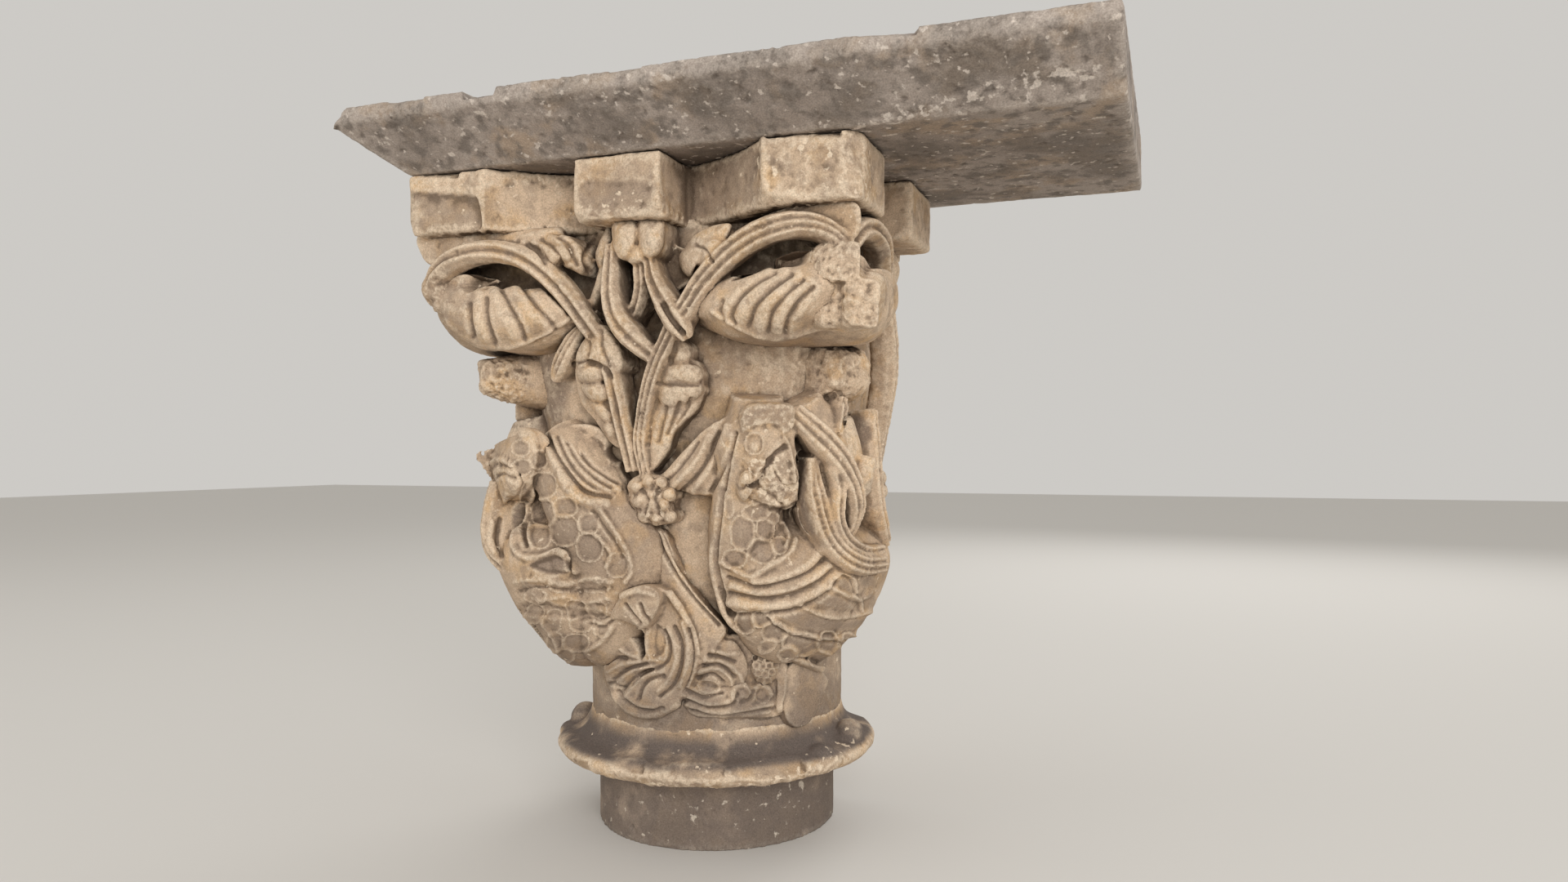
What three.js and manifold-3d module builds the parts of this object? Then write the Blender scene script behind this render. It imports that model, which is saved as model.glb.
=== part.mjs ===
// A carved stone column capital with the impost slab on top of it and the top of the shaft below it.
// Millimetres, +Z up. The origin is on the column's axis at the underside of the shaft, the front face
// looks along -Y, and everything beyond the back plane is cut off flat.

import * as THREE from 'three';
import { mergeVertices } from 'three/addons/utils/BufferGeometryUtils.js';
import Module from 'manifold-3d';

const wasm = await Module();
wasm.setup();

// Driving dimensions
const abacusWidth = 360;
const abacusThickness = 46;
const hornWidth = 67;
const dieWidth = 69;
const dieRecess = 47;
const soffitZ = 520;
const backPlaneY = 68;
const ringUndersideZ = 56;
const ringRadius = 134.7;
const shaftRadius = 99.8;
const neckRadius = 106;
const bellFootZ = 92;
const impostSplayOut = 41.5;
const impostSplayRise = 33;
const impostBand = 10;
const impostRight = 347;
const jointGap = 0.3;
const rootRadius = 92;
const turnedSides = 36;

// Values worked out from them
const half = abacusWidth / 2;
const abacusZ = soffitZ - abacusThickness;
const halfDie = dieWidth / 2;
const hornInner = half - hornWidth;
const degrees = Math.PI / 180;

// The bell at six heights: half its width, and how square its plan is (2 is round)
const bellLevels = [
  { z: bellFootZ - 6, halfWidth: neckRadius, squareness: 2 },
  { z: 150, halfWidth: 107, squareness: 2 },
  { z: 200, halfWidth: 110, squareness: 2.2 },
  { z: 280, halfWidth: 118, squareness: 3 },
  { z: 370, halfWidth: 128, squareness: 5 },
  { z: abacusZ + 4, halfWidth: 134, squareness: 6 },
];

function levelAt(z, key) {
  const above = bellLevels.findIndex((level) => level.z >= z);
  if (above <= 0) return bellLevels[above === 0 ? 0 : bellLevels.length - 1][key];
  const [low, high] = [bellLevels[above - 1], bellLevels[above]];
  return THREE.MathUtils.mapLinear(z, low.z, high.z, low[key], high[key]);
}

// Radius of the plain bell; azimuth 0 is the middle of the front face, positive to the right
function bellRadius(azimuth, z) {
  const power = levelAt(z, 'squareness');
  const cos = Math.abs(Math.cos(azimuth));
  const sin = Math.abs(Math.sin(azimuth));
  return levelAt(z, 'halfWidth') / (cos ** power + sin ** power) ** (1 / power);
}

// A point that stands off the bell by a lift
function onBell([azimuthDegrees, z, lift]) {
  const azimuth = azimuthDegrees * degrees;
  const radius = bellRadius(azimuth, z) + lift;
  return new THREE.Vector3(radius * Math.sin(azimuth), -radius * Math.cos(azimuth), z);
}

const at = ([x, y, z]) => new THREE.Vector3(x, y, z);

// Level directions away from the axis at an azimuth, and across it
function directions(azimuthDegrees) {
  const azimuth = azimuthDegrees * degrees;
  const away = new THREE.Vector3(Math.sin(azimuth), -Math.cos(azimuth), 0);
  return [away, new THREE.Vector3(away.y, -away.x, 0)];
}

// Direction away from the axis, turned towards the nearest face of the square plan
function outward({ x, y }) {
  return new THREE.Vector3(x * Math.abs(x), y * Math.abs(y), 0).normalize();
}

function signedVolume(positions, index) {
  const [a, b, c] = [new THREE.Vector3(), new THREE.Vector3(), new THREE.Vector3()];
  let volume = 0;
  for (let i = 0; i < index.length; i += 3) {
    a.fromArray(positions, index[i] * 3);
    b.fromArray(positions, index[i + 1] * 3);
    c.fromArray(positions, index[i + 2] * 3);
    volume += a.dot(b.cross(c)) / 6;
  }
  return volume;
}

function toManifold(geometry) {
  const bare = geometry.clone();
  bare.deleteAttribute('normal');
  bare.deleteAttribute('uv');
  const merged = mergeVertices(bare, 1e-4);
  const index = Uint32Array.from(merged.index.array);
  if (signedVolume(merged.attributes.position.array, index) < 0) index.reverse();
  return new wasm.Manifold(new wasm.Mesh({
    numProp: 3,
    vertProperties: Float32Array.from(merged.attributes.position.array),
    triVerts: index,
  }));
}

function toGeometry(manifold) {
  const { vertProperties, triVerts } = manifold.getMesh();
  const geometry = new THREE.BufferGeometry();
  geometry.setAttribute('position', new THREE.BufferAttribute(Float32Array.from(vertProperties), 3));
  geometry.setIndex(new THREE.BufferAttribute(Uint32Array.from(triVerts), 1));
  geometry.computeVertexNormals();
  return geometry;
}

// The outer skin alone, so that a hollow with no way in is solid stone
function outerShell(manifold) {
  return manifold.decompose().reduce((largest, next) => (next.volume() > largest.volume() ? next : largest));
}

const join = (geometries) => geometries.map(toManifold).reduce((whole, next) => whole.add(next));

// A closed body through rings of points that all have the same count
function loft(rings) {
  const count = rings[0].length;
  const middle = (ring) => ring.reduce((sum, point) => sum.add(point), new THREE.Vector3())
    .divideScalar(count);
  const points = [...rings.flat(), middle(rings[0]), middle(rings.at(-1))];
  const firstCap = rings.length * count;
  const lastRing = firstCap - count;
  const index = [];
  for (let side = 0; side < count; side += 1) {
    const next = (side + 1) % count;
    for (let row = 0; row + 1 < rings.length; row += 1) {
      const [low, high] = [row * count, (row + 1) * count];
      index.push(low + side, low + next, high + next, low + side, high + next, high + side);
    }
    index.push(firstCap, next, side, firstCap + 1, lastRing + side, lastRing + next);
  }
  const geometry = new THREE.BufferGeometry();
  geometry.setAttribute('position', new THREE.Float32BufferAttribute(points.flatMap((p) => p.toArray()), 3));
  geometry.setIndex(index);
  return geometry;
}

// Section of a carved stem, across and outwards in parts of its width and height
function stemSection(ridges, foot) {
  const crest = ridges === 1 ? [[-0.28, 0.9], [0.28, 0.9]] : [];
  for (let ridge = 0; ridges > 1 && ridge < ridges; ridge += 1) {
    const across = (ridge + 0.5) / ridges - 0.5;
    if (ridge > 0) crest.push([across - 0.5 / ridges, 0.5]);
    crest.push([across * 1.2, 1]);
  }
  return [[-0.5, -foot], ...crest, [0.5, -foot]];
}

// A stem or ridge that follows points, with its back sunk into the stone behind it
function stem(points, { width, height, ridges = 2, foot = 14, step = 28, ends = [0.75, 0.75] }) {
  const curve = new THREE.CatmullRomCurve3(points);
  const steps = Math.max(2, Math.round(curve.getLength() / step));
  const section = stemSection(ridges, foot / height);
  const rings = [];
  for (let i = 0; i <= steps; i += 1) {
    const along = i / steps;
    const centre = curve.getPointAt(along);
    const tangent = curve.getTangentAt(along);
    const out = outward(centre);
    out.addScaledVector(tangent, -out.dot(tangent)).normalize();
    const across = tangent.clone().cross(out);
    const start = THREE.MathUtils.lerp(ends[0], 1, Math.min(1, along * 4));
    const end = THREE.MathUtils.lerp(ends[1], 1, Math.min(1, (1 - along) * 4));
    rings.push(section.map(([side, up]) => centre.clone()
      .addScaledVector(across, side * width * start * end)
      .addScaledVector(out, up * height * (up > 0 ? start * end : 1))));
  }
  return loft(rings);
}

// A rounded lump on the stone: radii across the face, outwards and up
function lump(centre, [across, out, up], sides = 6) {
  const geometry = new THREE.SphereGeometry(1, sides, sides - 2);
  geometry.rotateX(Math.PI / 2);
  geometry.scale(across, out, up);
  const facing = outward(centre);
  geometry.rotateZ(Math.atan2(facing.x, -facing.y));
  geometry.translate(centre.x, centre.y, centre.z);
  return geometry;
}

// A swelling body: stations on the bell with half a width and a height, from end to end
function swelling(stations, sides = 8) {
  const centres = stations.map((station) => onBell([station.azimuth, station.z, 0]));
  const curve = new THREE.CatmullRomCurve3(centres);
  return loft(stations.map((station, i) => {
    const tangent = curve.getTangent(i / (stations.length - 1));
    const out = outward(centres[i]);
    out.addScaledVector(tangent, -out.dot(tangent)).normalize();
    const across = tangent.clone().cross(out);
    return Array.from({ length: sides }, (_, side) => {
      const angle = (side / sides) * 2 * Math.PI;
      const up = Math.sin(angle);
      return centres[i].clone()
        .addScaledVector(across, Math.cos(angle) * station.width)
        .addScaledVector(out, up > 0 ? up * station.lift : up * 12);
    });
  }));
}

// A raised plate with an outline of azimuth and height on the bell
function plate(outline, lift) {
  const rings = [-8, lift].map((level) => outline.map(([azimuth, z]) => onBell([azimuth, z, level])));
  return loft(rings);
}

// Low scales in staggered rows; each row has its height, its two end azimuths, a count and a lift
function scales(rows, size) {
  return rows.flatMap(({ z, from, to, count, lift }) => Array.from({ length: count }, (_, i) => {
    const azimuth = THREE.MathUtils.lerp(from, to, count > 1 ? i / (count - 1) : 0.5);
    const scale = new THREE.ConeGeometry(1, 1, 6);
    scale.rotateX(-Math.PI / 2);
    scale.scale(size, size * 0.6, size * 1.25);
    const centre = onBell([azimuth, z, lift]);
    const facing = outward(centre);
    scale.rotateZ(Math.atan2(facing.x, -facing.y));
    scale.translate(centre.x, centre.y, centre.z);
    return scale;
  }));
}

// The plain block that the carving grows out of
function bell() {
  const rings = bellLevels.map(({ z }) => Array.from({ length: turnedSides }, (_, side) => (
    onBell([(side / turnedSides) * 360, z, 0]))));
  return loft(rings);
}

// Neck and ring, turned
function neckRing() {
  const profile = [
    [0, ringUndersideZ], [126, ringUndersideZ], [132, ringUndersideZ + 3], [ringRadius, ringUndersideZ + 9],
    [131, ringUndersideZ + 16], [122, ringUndersideZ + 19], [110, ringUndersideZ + 26],
    [neckRadius + 1, bellFootZ], [0, bellFootZ],
  ];
  const geometry = new THREE.LatheGeometry(profile.map(([r, z]) => new THREE.Vector2(r, z)), turnedSides);
  return geometry.rotateX(Math.PI / 2);
}

// Broken lumps that are left of a higher ring at its two ends
function ringRemains() {
  return [
    lump(at([-112, -30, ringUndersideZ + 21]), [17, 15, 15]),
    lump(at([120, -6, ringUndersideZ + 20]), [16, 14, 15]),
    lump(at([110, -52, ringUndersideZ + 16]), [12, 12, 9]),
  ];
}

// Concave-sided abacus with four horns and a die in the middle of each side
function abacus() {
  const sagitta = dieRecess / (1 - (halfDie / hornInner) ** 2);
  const depthAt = (u) => sagitta * (1 - (u / hornInner) ** 2);
  const side = [[-half, 0]];
  const arcSteps = 4;
  for (let i = 0; i <= arcSteps; i += 1) {
    const u = THREE.MathUtils.lerp(-hornInner, -halfDie, i / arcSteps);
    side.push([u, depthAt(u)]);
  }
  side.push([-halfDie, 0], [halfDie, 0]);
  for (let i = arcSteps; i >= 0; i -= 1) {
    const u = THREE.MathUtils.lerp(-hornInner, -halfDie, i / arcSteps);
    side.push([-u, depthAt(u)]);
  }
  const outline = [];
  for (let quarter = 0; quarter < 4; quarter += 1) {
    for (const [u, depth] of side) {
      const corner = new THREE.Vector2(u, depth - half);
      outline.push(corner.rotateAround(new THREE.Vector2(), (quarter * Math.PI) / 2));
    }
  }
  const geometry = new THREE.ExtrudeGeometry(new THREE.Shape(outline), {
    depth: abacusThickness, bevelEnabled: false,
  });
  return geometry.translate(0, 0, abacusZ);
}

// Cupped leaf under a volute, from the corner knob to its inner end, sign -1 for the left one
function cup(sign) {
  const stations = [
    { x: 166, y: -164, low: 420, high: 446 },
    { x: 150, y: -176, low: 400, high: 440 },
    { x: 118, y: -180, low: 386, high: 432 },
    { x: 84, y: -174, low: 387, high: 430 },
    { x: 52, y: -160, low: 396, high: 428 },
    { x: 34, y: -140, low: 405, high: 420 },
  ];
  return loft(stations.map(({ x, y, low, high }) => {
    const back = -Math.min(118, 118 + (x - 120) * 0.5);
    const mid = (low + high) / 2;
    return [[back, high], [y + 18, high], [y + 2, mid + 6], [y, mid - 6], [y + 12, low + 3], [back, low]]
      .map(([depth, z]) => at([sign * x, depth, z]));
  }));
}

// Rounded ribs that run over the cup from the knob
function cupRibs(sign) {
  const tips = [[132, 399], [106, 396], [80, 399], [56, 406]];
  return tips.map(([x, z]) => stem([
    at([sign * (x * 0.4 + 94), -172, 431]),
    at([sign * (x * 0.7 + 44), -179, (z + 433) / 2 + 4]),
    at([sign * x, -177, z]),
  ], { width: 19, height: 6, ridges: 1, foot: 12, ends: [0.5, 0.9] }));
}

// Grooved stem that rises from the rosette, bends over the cup and ends in the corner knob
function voluteStem(sign, lower) {
  return stem([
    ...lower.map(onBell),
    at([sign * 52, -160, 432]),
    at([sign * 78, -168, 455]),
    at([sign * 112, -170, 464]),
    at([sign * 144, -170, 460]),
    at([sign * 164, -164, 442]),
  ], { width: 20, height: 9, ridges: 2, foot: 14 });
}

// Crossing strands under the die, over and under each other
function interlace() {
  const strand = { width: 20, height: 8, ridges: 2, foot: 20 };
  return [
    stem([[-10, 458, 24], [-14, 432, 28], [-12, 408, 32], [-3, 384, 30], [6, 366, 16]].map(onBell), strand),
    stem([[1, 456, 22], [-1, 432, 22], [-6, 408, 18], [-12, 392, 10]].map(onBell), { ...strand, width: 15 }),
    stem([[3, 452, 26], [8, 428, 30], [13, 406, 36], [16, 388, 36]].map(onBell), strand),
    stem([[-21, 404, 14], [-28, 386, 14], [-35, 364, 14]].map(onBell), { ...strand, width: 16 }),
    stem([[-13, 450, 14], [-19, 428, 12], [-24, 404, 10]].map(onBell), { ...strand, width: 9, ridges: 1 }),
    stem([at([-46, -146, 444]), at([-34, -151, 420]), at([-22, -153, 398])], { ...strand, width: 16 }),
  ];
}

// Leaf of three lobes that hangs from the die
function trefoil() {
  return [
    lump(at([-38, -132, 463]), [8, 16, 22]),
    lump(at([-15, -146, 464]), [13, 16, 21]),
    lump(at([11, -146, 463]), [14, 16, 21]),
  ];
}

// Buds and small lobed leaves that sit on the stems
function buds() {
  return [
    lump(at([-62, -150, 456]), [27, 16, 13], 8),
    lump(at([-46, -152, 450]), [11, 13, 12]),
    lump(at([57, -150, 452]), [19, 15, 18]),
    lump(at([-28, -150, 386]), [17, 13, 17]),
    ...[0, 1].map((i) => lump(at([-32 + i * 8, -145, 357 - i * 27]), [11, 12, 15])),
    lump(at([34, -142, 364]), [20, 16, 9]),
    lump(at([34, -141, 349]), [18, 16, 8]),
    stem([[14, 338, 14], [9, 316, 14], [5, 296, 12]].map(onBell), { width: 18, height: 7, ridges: 1 }),
    lump(onBell([-36, 362, 18]), [12, 14, 15]),
  ];
}

function rosette() {
  const centre = at([7, -134, 275]);
  const petals = [0, 1, 2, 3, 4].map((i) => {
    const angle = (i / 5) * 2 * Math.PI + 0.5;
    return lump(at([centre.x + Math.cos(angle) * 16, -136, centre.z + Math.sin(angle) * 16]), [11, 12, 11]);
  });
  return [lump(centre, [18, 19, 18]), ...petals, lump(onBell([-11, 262, 6]), [9, 11, 15])];
}

// Ribbed leaf between the rosette and a beast's head
function wing(sign) {
  const ridge = { width: 11, height: 7, ridges: 1, foot: 16 };
  return [0, 1, 2].map((i) => stem([
    onBell([sign * (10 + i * 2), 277 + i * 8, 12]),
    onBell([sign * (21 - i * 0.5), 288 + i * 11, 20 - i * 3]),
    onBell([sign * (31 - i * 3), 325 - i * 2, 20 - i * 3]),
  ], ridge));
}

// Body at a corner that both faces share, an upturned cone of feathers and scales
function cornerBody(corner, reach, raisedFoot = 0) {
  const stations = [
    { z: 136, out: 132, width: 16 },
    { z: 152, out: 147, width: 34 },
    { z: 183, out: 171, width: 52 },
    { z: 219, out: 187, width: 60 },
    { z: 240, out: 180, width: 54 },
    { z: 258, out: 158, width: 40 },
  ];
  const [foot, top] = [stations[0].z, stations.at(-1).z];
  const [away, across] = directions(corner);
  const sides = 12;
  return loft(stations.map(({ z, out, width }) => Array.from({ length: sides }, (_, side) => {
    const angle = (side / sides) * 2 * Math.PI;
    const middle = (rootRadius + out * reach) / 2;
    return away.clone().multiplyScalar(middle + Math.cos(angle) * (out * reach - rootRadius) / 2)
      .addScaledVector(across, Math.sin(angle) * width)
      .setZ(THREE.MathUtils.mapLinear(z, foot, top, foot + raisedFoot, top));
  })));
}

// Beast to the left of the face: a scaled neck and breast, the head thrown out at the corner
function leftBeast() {
  return [
    swelling([
      { azimuth: -36, z: 322, width: 20, lift: 22 },
      { azimuth: -31, z: 300, width: 32, lift: 40 },
      { azimuth: -24, z: 268, width: 38, lift: 42 },
      { azimuth: -20, z: 234, width: 50, lift: 36 },
      { azimuth: -22, z: 200, width: 46, lift: 32 },
      { azimuth: -30, z: 168, width: 36, lift: 28 },
      { azimuth: -38, z: 146, width: 22, lift: 16 },
    ]),
    lump(at([-126, -128, 300]), [30, 24, 19], 8),
    lump(at([-138, -134, 286]), [15, 22, 19]),
    stem([at([-126, -142, 286]), at([-124, -148, 270]), at([-118, -146, 258])],
      { width: 16, height: 10, ridges: 1, ends: [1, 0.4] }),
    stem([[-14, 256, 14], [-6, 236, 16], [-8, 212, 16], [-18, 192, 14]].map(onBell),
      { width: 9, height: 8, ridges: 1 }),
    stem([[-52, 268, 44], [-50, 238, 60], [-34, 221, 46], [-18, 222, 40]].map(onBell),
      { width: 22, height: 9, ridges: 1, foot: 20 }),
    stem([[-56, 238, 60], [-42, 208, 54], [-24, 204, 36]].map(onBell),
      { width: 20, height: 9, ridges: 2, foot: 20 }),
    stem([at([-146, -130, 276]), at([-150, -134, 246]), at([-140, -132, 220])],
      { width: 24, height: 8, ridges: 2, foot: 26 }),
    ...scales([
      { z: 300, from: -31, to: -31, count: 1, lift: 38 },
      { z: 278, from: -28, to: -19, count: 2, lift: 40 },
      { z: 254, from: -26, to: -14, count: 2, lift: 37 },
      { z: 184, from: -36, to: -17, count: 3, lift: 32 },
      { z: 164, from: -39, to: -26, count: 2, lift: 27 },
    ], 12),
  ];
}

// Beast to the right of the face: head up against the corner with its beak down on its breast
function rightBeast() {
  return [
    swelling([
      { azimuth: 34, z: 342, width: 23, lift: 34 },
      { azimuth: 34, z: 318, width: 25, lift: 46 },
      { azimuth: 33, z: 284, width: 25, lift: 42 },
      { azimuth: 34, z: 250, width: 29, lift: 40 },
      { azimuth: 36, z: 222, width: 32, lift: 38 },
      { azimuth: 43, z: 198, width: 36, lift: 36 },
      { azimuth: 50, z: 176, width: 30, lift: 30 },
      { azimuth: 54, z: 157, width: 14, lift: 16 },
    ]),
    lump(onBell([32, 316, 42]), [9, 9, 9]),
    stem([[28, 304, 44], [29, 288, 46], [27, 272, 40]].map(onBell),
      { width: 15, height: 9, ridges: 1, ends: [1, 0.3] }),
    lump(onBell([38, 281, 40]), [17, 13, 20]),
    stem([[29, 338, 20], [25, 300, 18], [24, 262, 18], [23, 226, 18], [25, 196, 18], [32, 180, 18],
      [46, 162, 20], [60, 143, 20]].map(onBell), { width: 9, height: 8, ridges: 1, foot: 24 }),
    stem([[26, 216, 44], [37, 219, 52], [47, 233, 56], [50, 250, 46]].map(onBell),
      { width: 20, height: 8, ridges: 1, foot: 20 }),
    stem([[27, 204, 42], [38, 201, 52], [50, 212, 60], [59, 228, 56]].map(onBell),
      { width: 20, height: 9, ridges: 3, foot: 20 }),
    ...scales([
      { z: 264, from: 27, to: 37, count: 2, lift: 39 },
      { z: 243, from: 26, to: 36, count: 2, lift: 37 },
      { z: 222, from: 26, to: 26, count: 1, lift: 36 },
    ], 11),
  ];
}

// Looped, grooved stem at the right corner, crossing itself beside the beast's head
function cornerLoop() {
  const strand = { width: 21, height: 9, ridges: 3, foot: 22 };
  return [
    stem([[38, 340, 38], [45, 322, 52], [52, 300, 60], [58, 268, 58], [52, 242, 52]].map(onBell), strand),
    stem([[43, 300, 50], [44, 268, 54], [49, 240, 58], [60, 224, 60], [74, 214, 54]].map(onBell), strand),
  ];
}

// Long feathers and rows of scales on the right corner's body
function cornerPlumage() {
  const feather = { width: 19, height: 7, ridges: 1, foot: 20, ends: [0.6, 0.8] };
  return [
    stem([[36, 189, 38], [48, 184, 50], [62, 192, 52], [78, 200, 42]].map(onBell), feather),
    stem([[40, 174, 34], [52, 168, 42], [68, 176, 44], [84, 184, 34]].map(onBell), feather),
    ...scales([
      { z: 156, from: 44, to: 76, count: 4, lift: 30 },
      { z: 140, from: 56, to: 70, count: 2, lift: 22 },
    ], 11),
  ];
}

// A broken stump that grows out of the bell: distances from the axis, with its height and half width
function stump(azimuthDegrees, stations) {
  const [away, across] = directions(azimuthDegrees);
  return loft(stations.map(({ reach, low, high, halfWidth }) => (
    [[-1, low], [-0.75, high], [0.75, high], [1, low]].map(([side, z]) => (
      away.clone().multiplyScalar(reach).addScaledVector(across, side * halfWidth).setZ(z))))));
}

// Stumps of broken brackets under the volutes, by the corners
function cornerBrackets() {
  return [
    stump(-48, [
      { reach: rootRadius, low: 330, high: 394, halfWidth: 26 },
      { reach: 160, low: 344, high: 388, halfWidth: 22 },
      { reach: 198, low: 356, high: 380, halfWidth: 15 },
    ]),
    stump(-58, [
      { reach: rootRadius, low: 314, high: 368, halfWidth: 22 },
      { reach: 170, low: 332, high: 352, halfWidth: 12 },
    ]),
    stump(58, [
      { reach: rootRadius, low: 328, high: 402, halfWidth: 30 },
      { reach: 150, low: 342, high: 392, halfWidth: 26 },
      { reach: 180, low: 356, high: 378, halfWidth: 15 },
    ]),
  ];
}

// Broken knobs where the stems of two faces meet at a corner
function cornerKnobs() {
  return [
    lump(at([-161, -161, 434]), [17, 20, 18]),
    lump(at([156, -162, 424]), [24, 16, 30]),
  ];
}

// Curled leaf, scroll, palmette and grapes above the neck
function lowerFoliage() {
  const ridge = { width: 11, height: 8, ridges: 1, foot: 14 };
  const scrolls = [0, 1].map((i) => {
    const size = 1 - i * 0.36;
    const route = [[-20, -14], [-9, -38], [5, -44], [15, -22], [15, 12], [7, 36], [-4, 40], [-9, 22]];
    const spots = route.map(([azimuth, z]) => [azimuth * size, z * size + 160, 9 + Math.max(0, z) * 0.3]);
    return stem(spots.map(onBell), { ...ridge, width: 15, ridges: 2, ends: [0.5, 0.7] });
  });
  const palmette = [0, 1].map((i) => stem(
    [[18 + i, 126 + i * 19, 6], [26, 116 + i * 24, 9], [36 - i, 124 + i * 18, 6]].map(onBell), ridge));
  return [
    ...scrolls,
    lump(onBell([1, 199, 12]), [19, 20, 11]),
    lump(onBell([-15, 165, 8]), [12, 12, 16]),
    lump(onBell([-17, 141, 8]), [12, 11, 13]),
    ...palmette,
    stem([[48, 155, 4], [52, 138, 4], [49, 112, 4]].map(onBell), { ...ridge, width: 6, height: 5 }),
  ];
}

function grapes() {
  const rows = [2, 3, 3, 2, 2];
  return rows.flatMap((count, row) => Array.from({ length: count }, (_, i) => {
    const berry = new THREE.OctahedronGeometry(6, 0);
    const centre = onBell([41 + (i - (count - 1) / 2) * 4.6, 156 - row * 8, 5]);
    return berry.translate(centre.x, centre.y, centre.z);
  }));
}

// Smooth plate between the rosette and the right beast, with a bracketed edge
function bracketPlate() {
  return plate([[2, 247], [3, 230], [9, 216], [17, 202], [31, 166], [26, 192], [24, 240], [16, 262]], 9);
}

// The front face as it is carved
function frontFace() {
  return [
    cup(-1), ...cupRibs(-1), voluteStem(-1, [[-4, 293, 14], [-7, 330, 18], [-11, 366, 22], [-14, 394, 26]]),
    cup(1), ...cupRibs(1), voluteStem(1, [[0, 293, 14], [2, 330, 18], [4, 364, 22], [11, 396, 26]]),
    ...interlace(), ...trefoil(), ...buds(), ...rosette(), ...wing(-1), ...wing(1),
    ...leftBeast(), ...rightBeast(), ...cornerLoop(), ...cornerPlumage(),
    ...lowerFoliage(), ...grapes(), bracketPlate(),
  ];
}

// The plainer carving of a side face, on the half by the corner
function sideFace(near) {
  const stemRoute = [[1, 293, 22], [3, 330, 28], [6, 364, 32], [11, 396, 34]];
  const mirrorIfLeft = (points) => points.map(([azimuth, z, lift]) => [near * azimuth, z, lift]);
  const strand = { width: 15, height: 9, ridges: 1, ends: [1, 0.3] };
  return [
    cup(near), ...cupRibs(near).slice(1),
    voluteStem(near, mirrorIfLeft(stemRoute)),
    swelling([
      { azimuth: near * 34, z: 338, width: 22, lift: 30 },
      { azimuth: near * 33, z: 300, width: 26, lift: 42 },
      { azimuth: near * 32, z: 250, width: 32, lift: 38 },
      { azimuth: near * 32, z: 205, width: 36, lift: 34 },
      { azimuth: near * 38, z: 165, width: 24, lift: 16 },
    ]),
    stem(mirrorIfLeft([[28, 304, 44], [29, 288, 46], [27, 272, 40]]).map(onBell), strand),
    lump(at([0, -146, 463]), [24, 16, 21]), lump(at([0, -134, 275]), [22, 19, 22]),
  ];
}

const turned = (geometries, angle) => geometries.map((geometry) => geometry.rotateZ(angle));

// Everything beyond the back plane, as a block that is cut away
function beyondBack() {
  const size = 1200;
  const block = new THREE.BoxGeometry(size, size, size);
  return toManifold(block.translate(0, backPlaneY + size / 2, 0));
}

function capitalGeometry() {
  const carved = join([
    bell(), neckRing(), ...ringRemains(), abacus(), ...frontFace(),
    ...turned(sideFace(-1), Math.PI / 2), ...turned(sideFace(1), -Math.PI / 2),
    cornerBody(-45, 1), cornerBody(50, 0.97, 12), cornerBody(66, 0.9, 6),
    ...cornerBrackets(), ...cornerKnobs(),
  ]);
  return toGeometry(outerShell(carved.subtract(beyondBack())));
}

// Slab with a splayed front and left side, cut square at the right, with a worn top edge
function impostGeometry() {
  const low = soffitZ + jointGap;
  const levels = [
    { z: low, out: half },
    { z: low + impostSplayRise, out: half + impostSplayOut },
    { z: low + impostSplayRise + impostBand, out: half + impostSplayOut },
  ];
  const slab = loft(levels.map(({ z, out }) => (
    [[-out, -out], [impostRight, -out], [impostRight, backPlaneY], [-out, backPlaneY]]
      .map(([x, y]) => at([x, y, z])))));
  const edge = half + impostSplayOut;
  const top = low + impostSplayRise + impostBand;
  const brokenCorner = { size: 40, length: 60, tilt: -0.7, outside: 6, above: 8.7 };
  const chip = new THREE.BoxGeometry(brokenCorner.size, brokenCorner.length, brokenCorner.size)
    .rotateY(brokenCorner.tilt)
    .translate(-edge - brokenCorner.outside, -edge, top + brokenCorner.above);
  const topNotch = { width: 30, depth: 14, drop: 8.3, x: -85 };
  const notch = new THREE.BoxGeometry(topNotch.width, 2 * topNotch.depth, 2 * topNotch.drop)
    .translate(topNotch.x, -edge, top);
  return toGeometry(toManifold(slab).subtract(toManifold(chip)).subtract(toManifold(notch)));
}

function shaftGeometry() {
  const height = ringUndersideZ - jointGap;
  const drum = new THREE.CylinderGeometry(shaftRadius, shaftRadius, height, 56)
    .rotateX(Math.PI / 2).translate(0, 0, height / 2);
  return toGeometry(toManifold(drum).subtract(beyondBack()));
}

function stone(name, geometry, color, roughness) {
  const mesh = new THREE.Mesh(geometry, new THREE.MeshStandardMaterial({ color, roughness, metalness: 0 }));
  mesh.name = name;
  return mesh;
}

const column = new THREE.Group();
column.add(
  stone('capital', capitalGeometry(), '#b29b7b', 0.9),
  stone('impost', impostGeometry(), '#8d8880', 0.92),
  stone('shaft_stub', shaftGeometry(), '#857a6c', 0.85),
);

export default column;
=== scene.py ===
"""A weathered limestone column capital with its impost slab and shaft stub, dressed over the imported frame.

Lengths in this script are millimetres and angles degrees. A spot on the bell is given as an azimuth round
the column (0 is the middle of the front face, positive to the right), a height and a lift off the plain bell.
A mark on the carving that the photograph shows is given as it is seen, in pixels across and down, with its
lift off the bell or off the plane just behind the volutes. Meshes are turned to metres when they are made.
"""
import logging
import math
from dataclasses import dataclass, field
from enum import Enum
from typing import Callable, Iterable, Sequence

import bmesh
import bpy
import numpy as np
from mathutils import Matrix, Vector
from mathutils.bvhtree import BVHTree


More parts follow.
